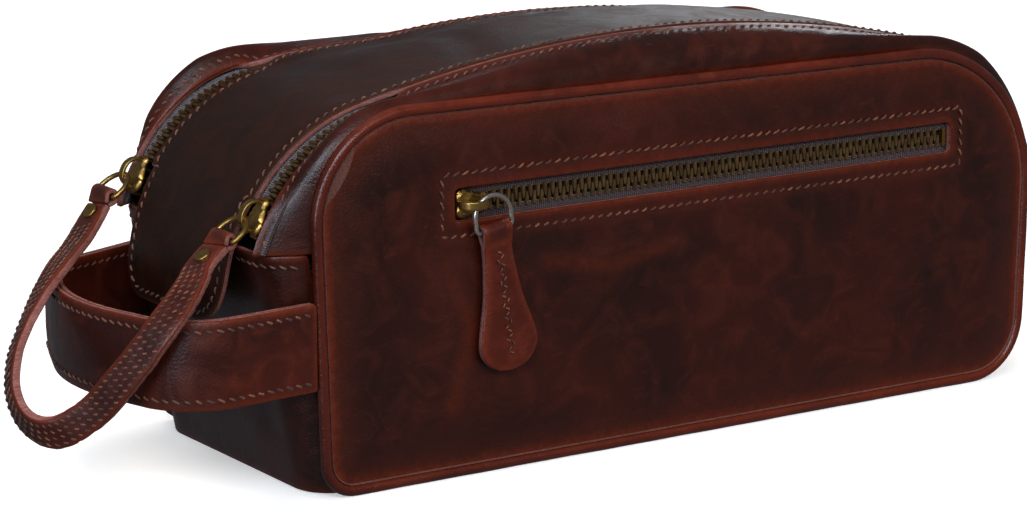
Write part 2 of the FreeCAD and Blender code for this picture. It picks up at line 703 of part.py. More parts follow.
def make_main_pulls():
    for name, side in (("front", -1), ("back", 1)):
        make_slider(f"{name}_slider", main_slider_placement(side))
        make_ring(f"{name}_ring", size("main_ring_length"), main_ring_placement(side))


# -------------------------------------------------------------- the pull strap
# Middle line of the strap from the front ring to the back ring, with the direction
# that its outer face looks in: it runs over the handle and round outside it.
STRAP_ROUTE = [
    ((-156.6, -38.0, 69.6), (-0.55, -0.05, 0.83)),
    ((-162.6, -43.6, 66.2), (-0.50, -0.22, 0.83)),
    ((-168.8, -48.0, 62.2), (-0.48, -0.42, 0.77)),
    ((-175.2, -49.8, 56.8), (-0.50, -0.55, 0.67)),
    ((-180.2, -46.6, 48.6), (-0.54, -0.66, 0.52)),
    ((-184.4, -41.8, 40.8), (-0.60, -0.70, 0.36)),
    ((-187.6, -37.0, 34.2), (-0.68, -0.70, 0.18)),
    ((-191.6, -32.4, 29.2), (-0.76, -0.62, -0.08)),
    ((-195.8, -27.4, 25.8), (-0.85, -0.42, -0.28)),
    ((-199.2, -22.0, 26.0), (-0.91, -0.18, -0.36)),
    ((-201.2, -16.6, 29.2), (-0.95, -0.02, -0.30)),
    ((-200.8, -10.8, 35.0), (-0.97, 0.08, -0.12)),
    ((-197.4, -5.4, 42.0), (-0.93, 0.18, 0.14)),
    ((-193.0, -1.4, 47.2), (-0.86, 0.26, 0.36)),
    ((-188.6, 2.2, 51.2), (-0.76, 0.28, 0.52)),
    ((-183.4, 6.0, 55.8), (-0.62, 0.26, 0.70)),
    ((-176.8, 11.2, 59.8), (-0.48, 0.18, 0.84)),
    ((-169.6, 18.4, 62.2), (-0.42, 0.14, 0.89)),
    ((-161.6, 26.4, 64.2), (-0.45, 0.10, 0.88)),
    ((-153.8, 33.0, 68.6), (-0.52, 0.05, 0.85)),
]


def strap_section(place, forward, outward, half_width, half_thick):
    """A rectangle across the strap at one point of its route."""
    across = forward.cross(outward).normalize()
    out = across.cross(forward).normalize()
    signs = ((-1, -1), (1, -1), (1, 1), (-1, 1))
    corners = [place + across * (half_width * a) + out * (half_thick * b) for a, b in signs]
    return Part.makePolygon(corners + corners[:1])


def across_bar(bar, radius, half):
    """A cylinder round a ring's bar, which runs along Y."""
    return Part.makeCylinder(radius, 2 * half, bar - Y_AXIS * half, Y_AXIS)


def make_strap():
    half, thick = size("pull_half"), size("strap_thick") / 2
    reach = FreeCAD.Vector(size("main_ring_length"), 0, 0)
    bars = [main_ring_placement(side).multVec(reach) for side in (-1, 1)]
    points = [FreeCAD.Vector(*place) for place, outward in STRAP_ROUTE]
    faces = [FreeCAD.Vector(*outward) for place, outward in STRAP_ROUTE]
    points = [bars[0]] + points + [bars[1]]
    faces = [faces[0]] + faces + [faces[-1]]
    sections = []
    for i, (place, outward) in enumerate(zip(points, faces)):
        forward = points[min(i + 1, len(points) - 1)] - points[max(i - 1, 0)]
        forward.normalize()
        sections.append(strap_section(place, forward, outward, half, thick))
    strap = Part.makeLoft(sections, True, True)
    for bar in bars:
        strap = strap.fuse(across_bar(bar, size("fold_outer"), half))
    for bar in bars:
        strap = strap.cut(across_bar(bar, size("fold_inner"), half + CLEAR))
    rivets = {
        "front_rivet": rivet(points[1], points[0], faces[1]),
        "back_rivet": rivet(points[-2], points[-1], faces[-2]),
    }
    for shape in rivets.values():
        strap = strap.cut(shape)
    solid("pull_strap", strap)
    for label, shape in rivets.items():
        solid(label, shape)


def rivet(near, bar, outward):
    """A rivet through both layers of the strap, a little way below the ring."""
    forward = (bar - near).normalize()
    across = forward.cross(outward).normalize()
    out = across.cross(forward).normalize()
    if out.dot(outward) < 0:
        out = out * -1
    half, head, radius = size("strap_thick") / 2, size("rivet_head_thick"), size("rivet_head")
    place = near + forward * size("rivet_step")
    shaft = Part.makeCylinder(size("rivet_shaft"), 2 * half, place - out * half, out)
    cap = Part.makeCylinder(radius, head, place + out * half, out)
    top = max(cap.Edges, key=lambda edge: (edge.CenterOfMass - place).dot(out))
    cap = cap.makeFillet(size("rivet_round"), [top])
    back = Part.makeCylinder(radius, head / 2, place - out * half, out * -1)
    return shaft.fuse([cap, back]).removeSplitter()


# --------------------------------------------------------------------- handle
# Plan of the line between the handle's two layers, and the radius at each turn. It runs
# clockwise seen from above, so its left is the loop's outer side.
HANDLE_TURNS = [(-129.6, -48.5), (-169.0, -52.0), (-182.0, -6.0), (-166.0, 35.0), (-129.6, 48.5)]
HANDLE_RADII = [0, 19.0, 62.0, 17.0, 0]


def make_handle():
    """Two layers of strap in a loop, sewn into the seams at the handle end."""
    route = rounded(HANDLE_TURNS, HANDLE_RADII, False)
    gap = size("layer_gap") / 2
    for label, near, far in (("handle_outer", gap, LEATHER), ("handle_inner", -LEATHER, -gap)):
        band = strip(route, near, far)
        plate(label, "XY_Plane", band, "sizes.handle_low_z", "sizes.handle_width")


# ---------------------------------------------------------------- pocket pull
def pocket_turn():
    """The way the pocket's ring and pull hang: +X of their own frames points down."""
    down = FreeCAD.Rotation(FreeCAD.Vector(0, 0, -1), X_AXIS, FreeCAD.Vector(0, -1, 0), "XYZ")
    return FreeCAD.Rotation(Y_AXIS, -size("pull_sway")).multiply(down)


def make_pocket_pull():
    mid_y = size("pocket_teeth_y") - size("teeth_thick") / 2
    place = FreeCAD.Vector(-size("pocket_slider_x"), -mid_y, size("window_z"))
    slider = FreeCAD.Placement(place, FreeCAD.Rotation(X_AXIS, 90))
    make_slider("pocket_slider", slider)
    seat = slider.multVec(FreeCAD.Vector(0, 0, size("ring_seat_z")))
    turn = pocket_turn()
    slip = math.radians(180 + size("ring_slip"))
    wire = FreeCAD.Vector(*polar((size("ring_half"), 0), size("ring_half"), slip), 0)
    ring = FreeCAD.Placement(seat - turn.multVec(wire), turn)
    make_ring("pocket_ring", size("ring_length"), ring)

    bar = ring.multVec(FreeCAD.Vector(size("ring_length"), 0, 0))
    body = new_body("pocket_pull")
    half, wide, length = size("pull_half"), size("pull_wide"), size("pull_length")
    outline = rounded([(1.2, -half), (length, -wide - 1), (length, wide + 1), (1.2, half)],
                      [0.5, 9.0, 9.0, 0.5], True)
    pad(body, new_sketch(body, "XY_Plane", outline, "-sizes.pull_thick / 2"), "sizes.pull_thick")
    loop = circle_sketch(body, "XZ_Plane", (0, 0), "fold_outer", "-sizes.pull_half")
    pad(body, loop, "2 * sizes.pull_half")
    bore = circle_sketch(body, "XZ_Plane", (0, 0), "fold_inner", "-sizes.pull_half - 1")
    cut(body, bore, "2 * sizes.pull_half + 2")
    body.Placement = FreeCAD.Placement(bar, turn)


# ---------------------------------------------------------------------- build
def check_and_write():
    doc.recompute()
    for thing in doc.Objects:
        if "Invalid" in thing.State or "Error" in thing.State:
            raise RuntimeError(f"{thing.Label} failed: {thing.State}")
    os.makedirs("parts", exist_ok=True)
    for part in parts:
        shape = part.Shape
        if shape.isNull() or not shape.isValid() or shape.Volume <= 0:
            raise RuntimeError(f"{part.Label} has no valid shape")
        shape.exportStep(f"parts/{part.Label}.step")
        print(f"{part.Label}: {len(shape.Solids)} solid, {shape.Volume:.0f} mm3")


make_panels()
make_piping()
make_ends()
make_gussets()
make_main_zips()
make_main_stops()
make_lid()
make_linings()
make_pocket_zip()
make_main_pulls()
make_strap()
make_handle()
make_pocket_pull()
check_and_write()
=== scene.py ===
"""The shaving kit bag's looks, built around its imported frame.

Every piece is shaped in millimetres in the frame's own axes and turned into metres when its
mesh is made. A soft piece is cut flat first, as leather is: its outline is drawn in the flat
(s along, t across), filled with small triangles, and laid on a curved surface with a lift.
"""
import json
import math

import bpy
import numpy as np
from mathutils import Matrix, Vector, geometry


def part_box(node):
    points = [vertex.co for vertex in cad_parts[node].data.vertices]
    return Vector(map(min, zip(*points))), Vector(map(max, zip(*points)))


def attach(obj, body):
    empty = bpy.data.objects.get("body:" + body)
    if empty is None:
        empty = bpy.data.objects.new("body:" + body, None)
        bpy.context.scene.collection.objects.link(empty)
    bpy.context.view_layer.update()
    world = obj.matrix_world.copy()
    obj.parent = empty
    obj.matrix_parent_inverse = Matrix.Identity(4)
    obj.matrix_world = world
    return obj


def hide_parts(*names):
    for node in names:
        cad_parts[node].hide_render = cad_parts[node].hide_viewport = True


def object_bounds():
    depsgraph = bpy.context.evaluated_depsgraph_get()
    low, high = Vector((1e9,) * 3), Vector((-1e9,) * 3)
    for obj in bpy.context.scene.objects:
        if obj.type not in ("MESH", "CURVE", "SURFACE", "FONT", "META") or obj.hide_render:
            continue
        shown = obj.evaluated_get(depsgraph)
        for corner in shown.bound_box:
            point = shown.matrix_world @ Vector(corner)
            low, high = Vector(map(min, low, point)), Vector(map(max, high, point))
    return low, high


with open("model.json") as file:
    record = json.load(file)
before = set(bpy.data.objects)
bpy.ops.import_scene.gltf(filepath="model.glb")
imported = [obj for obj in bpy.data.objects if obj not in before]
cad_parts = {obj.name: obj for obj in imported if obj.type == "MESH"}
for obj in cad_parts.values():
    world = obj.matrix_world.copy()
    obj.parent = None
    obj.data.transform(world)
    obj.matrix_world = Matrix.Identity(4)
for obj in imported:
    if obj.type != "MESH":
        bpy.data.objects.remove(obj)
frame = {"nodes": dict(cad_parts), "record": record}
cad_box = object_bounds()

MM = 0.001
random = np.random.default_rng(11)


def box_of(node):
    """Lowest and highest corner of a CAD node, in millimetres."""
    low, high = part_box(node)
    return np.array(low) / MM, np.array(high) / MM


def place_of(joint):
    """A hinge's place, in millimetres."""
    for entry in frame["record"]["behaviour"]["joints"]:
        if entry["name"] == joint:
            return np.array(entry["pos_m"]) / MM
    raise ValueError(joint)


# ---- main sizes
LEATHER = 2.0
PANEL_Y = -box_of("front_panel")[0][1]
PIPING_R = (box_of("front_piping")[1][1] - box_of("front_piping")[0][1]) / 2
PIPING_Y = -box_of("front_piping")[0][1] - PIPING_R
GUSSET_LOW_Y = -box_of("front_gusset")[0][1]
GUSSET_HIGH_Y = -box_of("front_gusset")[1][1]
END_HALF = box_of("left_end_panel")[1][1]
END_TOP_LEFT = box_of("left_end_panel")[1][2]
END_TOP_RIGHT = box_of("right_end_panel")[1][2]
LID_HALF = box_of("lid_panel")[1][1]
TONGUE_LOW = box_of("lid_panel")[0][2]
ZIP_Y = (LID_HALF + GUSSET_HIGH_Y) / 2

# The seam line that the piping follows round the front and the back, and its corner radii.
SEAM_CORNERS = [(-123.6, 1.6), (127.0, 1.6), (129.5, 105.5), (-127.2, 107.9)]
SEAM_RADII = [9.0, 18.0, 44.0, 30.0]

# The line of the lid and the main zips, end to end: a shoulder, a long crown, a shoulder.
SHOULDER = place_of("front_slider_travel")[[0, 2]]
SHOULDER_R = 57.0
CROWN_R = 405.0
CROWN_FROM = 104.0
CROWN_TO = 75.5


# ---- flat lines
def heading(degrees):
    return np.array([math.cos(math.radians(degrees)), math.sin(math.radians(degrees))])


def arc(centre, radius, start, end, step=1.2):
    count = max(5, int(abs(math.radians(end - start)) * radius / step) + 1)
    angle = np.radians(np.linspace(start, end, count))
    return np.asarray(centre) + radius * np.stack([np.cos(angle), np.sin(angle)], 1)


def run(a, b, step=1.5):
    a, b = np.asarray(a, float), np.asarray(b, float)
    count = max(2, int(np.linalg.norm(b - a) / step) + 1)
    return a + (b - a) * np.linspace(0, 1, count)[:, None]


def joined(*lines):
    """Lines that follow one another, as one line with no point twice."""
    line = np.concatenate(lines)
    keep = np.ones(len(line), bool)
    keep[1:] = np.linalg.norm(np.diff(line, axis=0), axis=1) > 1e-6
    return line[keep]


def rounded(corners, radii):
    """A closed line with a round corner at each point: [arc, run, arc, run, ...]."""
    arcs = []
    count = len(corners)
    for i in range(count):
        before, here, after = (np.array(corners[j % count]) for j in (i - 1, i, i + 1))
        u = (here - before) / np.linalg.norm(here - before)
        v = (after - here) / np.linalg.norm(after - here)
        turn = math.degrees(math.atan2(u[0] * v[1] - u[1] * v[0], u @ v))
        side = math.copysign(1.0, turn)
        first = here - u * radii[i] * math.tan(math.radians(abs(turn)) / 2)
        centre = first + side * radii[i] * np.array([-u[1], u[0]])
        start = math.degrees(math.atan2(*(first - centre)[::-1]))
        arcs.append(arc(centre, radii[i], start, start + turn))
    lines = []
    for i in range(count):
        lines += [arcs[i], run(arcs[i][-1], arcs[(i + 1) % count][0])]
    return lines


def travelled(line):
    return np.concatenate([[0], np.cumsum(np.linalg.norm(np.diff(line, axis=0), axis=1))])


def evenly(line, step):
    """The same line with points at even spacing."""
    way = travelled(line)
    at = np.linspace(0, way[-1], max(2, int(round(way[-1] / step)) + 1))
    return np.stack([np.interp(at, way, line[:, k]) for k in range(line.shape[1])], 1)


def inset(line, distance):
    """A closed counterclockwise line moved inward."""
    tangent = np.roll(line, -1, 0) - np.roll(line, 1, 0)
    tangent /= np.linalg.norm(tangent, axis=1)[:, None] + 1e-9
    return line + distance * np.stack([-tangent[:, 1], tangent[:, 0]], 1)


def open_loop(line):
    """A closed line without its repeated last point."""
    return line[:-1] if np.linalg.norm(line[0] - line[-1]) < 1e-6 else line


def closed_loop(line):
    """A line with its first point repeated at its end."""
    return np.vstack([line, line[:1]])


def gap_to(points, line, closed=False):
    """Distance from each point to a line."""
    a = line
    b = np.roll(line, -1, 0)
    if not closed:
        a, b = a[:-1], b[:-1]
    edge = b - a
    size = np.maximum((edge ** 2).sum(1), 1e-12)
    best = np.full(len(points), 1e9)
    for start in range(0, len(points), 4000):
        p = points[start:start + 4000, None, :]
        share = np.clip(((p - a) * edge).sum(2) / size, 0, 1)
        near = a + edge * share[..., None]
        best[start:start + 4000] = np.sqrt(((p - near) ** 2).sum(2)).min(1)
    return best


def inside(points, loop):
    """Which points lie inside a closed line."""
    x, y = points[:, :1], points[:, 1:]
    a, b = loop, np.roll(loop, -1, 0)
    crosses = (a[:, 1] > y) != (b[:, 1] > y)
    rise = np.where(b[:, 1] == a[:, 1], 1e-12, b[:, 1] - a[:, 1])
    at = a[:, 0] + (y - a[:, 1]) * (b[:, 0] - a[:, 0]) / rise
    return (crosses & (x < at)).sum(1) % 2 == 1


def smooth(value, start, end):
    """0 at start, 1 at end, and an S between them."""
    share = np.clip((value - start) / (end - start), 0, 1)
    return share * share * (3 - 2 * share)


def curve_through(points, per_run=10):
    """A smooth line through points (Catmull-Rom), of any number of columns."""
    padded = np.vstack([2 * points[0] - points[1], points, 2 * points[-1] - points[-2]])
    share = np.linspace(0, 1, per_run, endpoint=False)[:, None]
    line = []
    for i in range(1, len(padded) - 2):
        a, b, c, d = padded[i - 1:i + 3]
        line.append(0.5 * (2 * b + (c - a) * share + (2 * a - 5 * b + 4 * c - d) * share ** 2
                           + (3 * b - a - 3 * c + d) * share ** 3))
    return np.vstack([*line, points[-1:]])


def signed_area(loop):
    after = np.roll(loop, -1, 0)
    return float((loop[:, 0] * after[:, 1] - loop[:, 1] * after[:, 0]).sum() / 2)


SEAM_LINES = rounded(SEAM_CORNERS, SEAM_RADII)
SEAM = open_loop(joined(*SEAM_LINES))
CROWN_CENTRE = SHOULDER - (CROWN_R - SHOULDER_R) * heading(CROWN_FROM)
FAR_SHOULDER = CROWN_CENTRE + (CROWN_R - SHOULDER_R) * heading(CROWN_TO)


def lid_lines(left, right, depth=0.0):
    """The lid's profile between two heights over level at its shoulders, depth under its face."""
    return [
        arc(SHOULDER, SHOULDER_R - depth, 180 - left, CROWN_FROM),
        arc(CROWN_CENTRE, CROWN_R - depth, CROWN_FROM, CROWN_TO),
        arc(FAR_SHOULDER, SHOULDER_R - depth, CROWN_TO, right),
    ]


def level_at(centre, z):
    return math.degrees(math.asin((z - centre[1]) / SHOULDER_R))


# ---- curved surfaces
def unit(vectors):
    return vectors / (np.linalg.norm(vectors, axis=-1, keepdims=True) + 1e-12)


# The soft top sags towards the back, between the shoulders.
TOP_SAG = 4.6


def settle(points):
    """The places of the soft top once it has sagged."""
    x, y, z = points[..., 0], points[..., 1], points[..., 2]
    drop = TOP_SAG * smooth(y, 4, 36) * (1 - smooth(y, 42, 49))
    drop *= smooth(x, -102, -52) * (1 - smooth(x, 95, 132)) * smooth(z, 80, 104)
    moved = points.copy()
    moved[..., 2] -= drop
    return moved


class Sheet:
    """A curved surface through a grid of points, [along, across].

    sheet(s, t, lift) gives places: s along its middle, t across, and lift out of its face.
    """

    def __init__(self, grid, outward):
        self.grid = settle(grid)
        normal = unit(np.cross(np.gradient(self.grid, axis=0), np.gradient(self.grid, axis=1)))
        middle = normal[normal.shape[0] // 2, normal.shape[1] // 2]
        self.normal = normal * math.copysign(1.0, middle @ np.asarray(outward, float))
        self.s_way = travelled(self.grid.mean(1))
        steps = np.linalg.norm(np.diff(self.grid, axis=1), axis=2).mean(0)
        self.t_way = np.concatenate([[0], np.cumsum(steps)])
        self.length, self.breadth = self.s_way[-1], self.t_way[-1]

    def __call__(self, s, t, lift=0.0):
        s, t = np.broadcast_arrays(np.asarray(s, float), np.asarray(t, float))
        rows, columns = len(self.s_way), len(self.t_way)
        i = np.interp(s, self.s_way, np.arange(rows))
        j = np.interp(t, self.t_way, np.arange(columns))
        low_i = np.minimum(i.astype(int), rows - 2)
        low_j = np.minimum(j.astype(int), columns - 2)
        a, b = (i - low_i)[..., None], (j - low_j)[..., None]

        def at(table):
            near = table[low_i, low_j] * (1 - b) + table[low_i, low_j + 1] * b
            far = table[low_i + 1, low_j] * (1 - b) + table[low_i + 1, low_j + 1] * b
            return near * (1 - a) + far * a

        return at(self.grid) + unit(at(self.normal)) * (np.zeros_like(s) + lift)[..., None]


def ruled(low, high, outward, rows=2):
    """A sheet of straight rules between two matching lines in space."""
    share = np.linspace(0, 1, rows)[:, None]
    low, high = np.asarray(low, float)[:, None], np.asarray(high, float)[:, None]
    return Sheet(low * (1 - share) + high * share, outward)


def raised(line, y):
    """A line in the XZ plane, set at a depth y."""
    return np.stack([line[:, 0], np.full(len(line), float(y)), line[:, 1]], 1)


def spread(line, near, far, outward=(0, 0, 1), rows=2):
    """A line in the XZ plane spread over a depth."""
    return ruled(raised(line, near), raised(line, far), outward, rows)


def upright(line, z):
    """A line in plan, set at a height z."""
    return np.stack([line[:, 0], line[:, 1], np.full(len(line), float(z))], 1)


def finished(piece, body, slot, *nodes):
    """The piece rides on a body and stands for these CAD nodes, which it hides; slot is not used.
    """
    if nodes:
        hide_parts(*nodes)
    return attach(piece, body)


def flat_frame(origin, along, across, out):
    """A plane in space as a surface: s along, t across, lift out."""
    origin, along, across, out = (np.asarray(v, float) for v in (origin, along, across, out))

    def surface(s, t, lift=0.0):
        s, t = np.broadcast_arrays(np.asarray(s, float), np.asarray(t, float))
        lift = np.zeros(s.shape) + lift
        return origin + s[..., None] * along + t[..., None] * across + lift[..., None] * out

    return surface


def wall(y):
    """The front (y below 0) or back face as a plane: s is X, t is Z."""
    return flat_frame((0, y, 0), (1, 0, 0), (0, 0, 1), (0, math.copysign(1.0, y), 0))


# ---- meshes
def mesh_object(name, points, faces, materials, face_material=None, fields=None, sharp=50):
    mesh = bpy.data.meshes.new(name)
    mesh.from_pydata((np.asarray(points) * MM).tolist(), [], faces)
    for entry in materials:
        mesh.materials.append(entry)
    if face_material is not None:
        mesh.polygons.foreach_set("material_index", np.asarray(face_material, np.int32))
    for key, values in (fields or {}).items():
        values = np.asarray(values, np.float32)
        kind = "FLOAT" if values.ndim == 1 else "FLOAT_VECTOR"
        attribute = mesh.attributes.new(key, kind, "POINT")
        attribute.data.foreach_set("value" if values.ndim == 1 else "vector", values.ravel())
    mesh.shade_smooth()
    mesh.set_sharp_from_angle(angle=math.radians(sharp))
    mesh.validate()
    thing = bpy.data.objects.new(name, mesh)
    bpy.context.scene.collection.objects.link(thing)
    return thing


BORDER_STEP = 0.8
GRID_START = 0.3


def filled(outline, holes, spacing, rim):
    """Flat triangles that fill an outline round its holes, with closer rows at the edges."""
    loops = [open_loop(evenly(closed_loop(loop), spacing * BORDER_STEP))
             for loop in (outline, *holes)]
    border = np.concatenate(loops)
    edges, start = [], 0
    for loop in loops:
        count = len(loop)
        edges += [(start + i, start + (i + 1) % count) for i in range(count)]
        start += count
    low, high = border.min(0), border.max(0)
    grid_s = np.arange(low[0] + spacing * GRID_START, high[0], spacing)
    grid_t = np.arange(low[1] + spacing * GRID_START, high[1], spacing)
    grid = np.stack(np.meshgrid(grid_s, grid_t), -1).reshape(-1, 2)
    extra = [inset(loops[0], depth) for depth in rim]
    extra += [inset(loop, -depth) for loop in loops[1:] for depth in rim]
    near_gap = rim[-1] + spacing * 0.45

    def edge_gap(points):
        return np.min([gap_to(points, loop, True) for loop in loops], axis=0)

    def within(points):
        keep = inside(points, loops[0])
        for loop in loops[1:]:
            keep &= ~inside(points, loop)
        return keep

    grid = grid[within(grid)]
    grid = grid[edge_gap(grid) > near_gap]
    rows = []
    for depth, points in zip(list(rim) * len(loops), extra):
        points = points[within(points)]
        rows.append(points[edge_gap(points) > depth * 0.8])
    points = np.concatenate([border, grid, *rows])
    found = geometry.delaunay_2d_cdt([Vector(p) for p in points], edges, [], 0, 1e-5)
    flat = np.array([tuple(v) for v in found[0]])
    triangles = np.array(found[2])
    triangles = triangles[within(flat[triangles].mean(1))]
    used = np.unique(triangles)
    fresh = np.full(len(flat), -1)
    fresh[used] = np.arange(len(used))
    flat = flat[used]
    return flat, fresh[triangles], edge_gap(flat)


def rim_quads(triangles, count):
    """Quads that join the two faces of a sheet round every free edge."""
    edges = np.concatenate([triangles[:, [0, 1]], triangles[:, [1, 2]], triangles[:, [2, 0]]])
    keys = np.sort(edges, 1)
    _, first, uses = np.unique(keys[:, 0] * 10 ** 6 + keys[:, 1], return_index=True,
                               return_counts=True)
    free = edges[first[uses == 1]]
    return [(b, a, a + count, b + count) for a, b in free.tolist()]


EDGE_WEAR = 0.7
EDGE_WEAR_REACH = 1.8


def leather(name, surface, outline, materials, ride, holes=(), relief=None, thick=LEATHER,
            spacing=1.6, edge=0.6, wear=None, follow=False):
    """A cut sheet laid on a surface: outer face, inner face and the cut edge between them.

    materials are the grain side, the cut edge and the flesh side. ride is the body, the slot
    and the CAD nodes that it stands for. relief(flat, gap) is the lift of the outer face, gap
    being the distance to the cut edge. The inner face follows the lift too if follow is set.
    """
    flat, triangles, gap = filled(outline, holes, spacing, (edge * 0.35, edge))
    s, t = flat.T
    lift = relief(flat, gap) if relief else np.zeros(len(flat))
    corner = np.clip(edge - gap, 0, None)
    drop = (edge - np.sqrt(np.maximum(edge ** 2 - corner ** 2, 0))) * 0.9
    outer = surface(s, t, lift - drop)
    under = (lift if follow else np.maximum(lift, 0)) - thick + drop * 0.6
    inner = surface(s, t, under)
    sample = triangles[len(triangles) // 2]
    normal = np.cross(outer[sample[1]] - outer[sample[0]], outer[sample[2]] - outer[sample[0]])
    out = (outer[sample] - inner[sample]).mean(0)
    if normal @ out < 0:
        triangles = triangles[:, ::-1]
    count = len(flat)
    rim = rim_quads(triangles, count)
    faces = triangles.tolist() + (triangles[:, ::-1] + count).tolist() + rim
    kinds = [0] * len(triangles) + [min(2, len(materials) - 1)] * len(triangles)
    kinds += [min(1, len(materials) - 1)] * len(rim)
    worn = EDGE_WEAR * np.exp(-(gap / EDGE_WEAR_REACH) ** 2)
    if wear is not None:
        worn = np.clip(worn + wear(flat), 0, 1)
    position = np.column_stack([flat, np.zeros(count)])
    fields = {"wear": np.tile(worn, 2), "flat": np.tile(position, (2, 1))}
    piece = mesh_object(name, np.vstack([outer, inner]), faces, materials, kinds, fields)
    return finished(piece, *ride)


def crease(flat, line, width):
    """1 along a line and fading to 0 beside it."""
    return np.exp(-(gap_to(flat, np.asarray(line, float)) / width) ** 2)


# ---- stitches
def ring_faces(rings, sides):
    """Faces of a stack of rings of points, closed at both ends."""
    faces = []
    for i in range(rings - 1):
        for k in range(sides):
            a, b = i * sides + k, i * sides + (k + 1) % sides
            faces.append((a, b, b + sides, a + sides))
    faces.append(tuple(range(sides))[::-1])
    faces.append(tuple(range((rings - 1) * sides, rings * sides)))
    return faces


def copies(faces, size, count, start=0):
    """The faces of count copies of a shape with size points."""
    return [tuple(start + i * size + k for k in face) for i in range(count) for face in faces]


STITCH_RINGS = 7
STITCH_SIDES = 6


def stitch_shape(length, radius):
    """The points of one stitch, sunk at both ends: (along, across, up)."""
    points = []
    for i in range(STITCH_RINGS):
        share = -1 + 2 * i / (STITCH_RINGS - 1)
        along = share * length / 2
        size = radius * (1 - abs(share) ** 3) ** 0.5 + 0.02
        height = radius * 0.45 - radius * 1.3 * abs(share) ** 3
        for k in range(STITCH_SIDES):
            angle = 2 * math.pi * k / STITCH_SIDES
            points.append((along, size * math.cos(angle), height + size * 0.8 * math.sin(angle)))
    return np.array(points)


def stitches(name, rows, ride, pitch=3.1, length=2.5, radius=0.33, slant=24):
    """Rows of stitches: each row is (surface, line in its flat, lift at that line)."""
    shape, shape_faces = stitch_shape(length, radius), ring_faces(STITCH_RINGS, STITCH_SIDES)
    all_points, faces, total = [], [], 0
    for surface, line, lift in rows:
        way = travelled(line)
        count = max(2, int(way[-1] / pitch))
        at = (np.arange(count) + 0.5) * way[-1] / count
        middle = np.stack([np.interp(at, way, line[:, k]) for k in (0, 1)], 1)
        ahead = np.stack([np.interp(at + 0.2, way, line[:, k]) for k in (0, 1)], 1)
        behind = np.stack([np.interp(at - 0.2, way, line[:, k]) for k in (0, 1)], 1)
        turn = np.arctan2(*(ahead - behind).T[::-1]) + math.radians(slant)
        turn = turn + random.normal(0, 0.05, count)
        size = 1 + random.normal(0, 0.06, count)
        along = np.outer(size, shape[:, 0])
        across = np.tile(shape[:, 1], (count, 1))
        s = middle[:, :1] + along * np.cos(turn)[:, None] - across * np.sin(turn)[:, None]
        t = middle[:, 1:] + along * np.sin(turn)[:, None] + across * np.cos(turn)[:, None]
        height = lift(middle)[:, None] if callable(lift) else lift
        up = shape[:, 2] + height + random.normal(0, 0.03, count)[:, None]
        all_points.append(surface(s, t, up).reshape(-1, 3))
        faces += copies(shape_faces, len(shape), count, total)
        total += count * len(shape)
    sewing = mesh_object(name, np.concatenate(all_points), faces, [THREAD], sharp=80)
    return finished(sewing, *ride)


# ---- materials
class Shade:
    """Short hand for building a material's nodes."""

    def __init__(self, name):
        self.material = bpy.data.materials.new(name)
        self.material.use_nodes = True
        self.tree = self.material.node_tree
        self.shader = self.tree.nodes["Principled BSDF"]
        self.place = self.node("ShaderNodeTexCoord").outputs["Object"]

    def plug(self, socket, value):
        """A link to a socket, or a constant set on it."""
        if isinstance(value, bpy.types.NodeSocket):
            self.tree.links.new(value, socket)
        elif socket.type == "RGBA" and len(value) == 3:
            socket.default_value = (*value, 1)
        else:
            socket.default_value = value

    def node(self, kind, inputs=None, **settings):
        node = self.tree.nodes.new(kind)
        for key, value in settings.items():
            setattr(node, key, value)
        for key, value in (inputs or {}).items():
            self.plug(node.inputs[key], value)
        return node

    def field(self, name, output="Fac"):
        return self.node("ShaderNodeAttribute", attribute_name=name).outputs[output]

    def stretched(self, scale, turn=(0, 0, 0)):
        inputs = {"Vector": self.place, "Scale": scale, "Rotation": turn}
        return self.node("ShaderNodeMapping", inputs).outputs["Vector"]

    def noise(self, scale, detail=3.0, rough=0.5, warp=0.0, vector=None):
        inputs = {"Vector": vector or self.place, "Scale": scale, "Detail": detail,
                  "Roughness": rough, "Distortion": warp}
        return self.node("ShaderNodeTexNoise", inputs).outputs["Fac"]

    def cells(self, scale):
        inputs = {"Vector": self.place, "Scale": scale}
        return self.node("ShaderNodeTexVoronoi", inputs).outputs["Distance"]

    def ramp(self, value, *stops):
        """A grey from a value; stops are (place, brightness)."""
        node = self.node("ShaderNodeValToRGB", {"Fac": value})
        ramp = node.color_ramp
        for element, (spot, grey) in zip(ramp.elements, stops):
            element.position = spot
            element.color = (grey, grey, grey, 1)
        return node.outputs["Color"]

    def math(self, operation, a, b=0.5):
        node = self.node("ShaderNodeMath", operation=operation)
        for socket, value in zip(node.inputs, (a, b)):
            self.plug(socket, value)
        return node.outputs["Value"]

    def mix(self, share, a, b):
        """The colour a, turning to b as share goes from 0 to 1."""
        node = self.node("ShaderNodeMix", {0: share, 6: a, 7: b}, data_type="RGBA")
        return node.outputs[2]

    def blend(self, value, start, end, a, b, most=1.0):
        """The colour a where value is under start, b where it is over end, at most this far."""
        return self.mix(self.ramp(value, (start, 0.0), (end, most)), a, b)

    def bump(self, height, distance, strength, under=None):
        inputs = {"Height": height, "Distance": distance, "Strength": strength}
        if under is not None:
            inputs["Normal"] = under
        return self.node("ShaderNodeBump", inputs).outputs["Normal"]

    def set(self, **inputs):
        for key, value in inputs.items():
            self.plug(self.shader.inputs[key.replace("_", " ")], value)
        return self.material


def rgb(code):
    """A colour written the usual way, as the shader's own linear numbers."""
    values = [int(code[i:i + 2], 16) / 255 for i in (0, 2, 4)]
    return tuple(v / 12.92 if v < 0.04045 else ((v + 0.055) / 1.055) ** 2.4 for v in values)


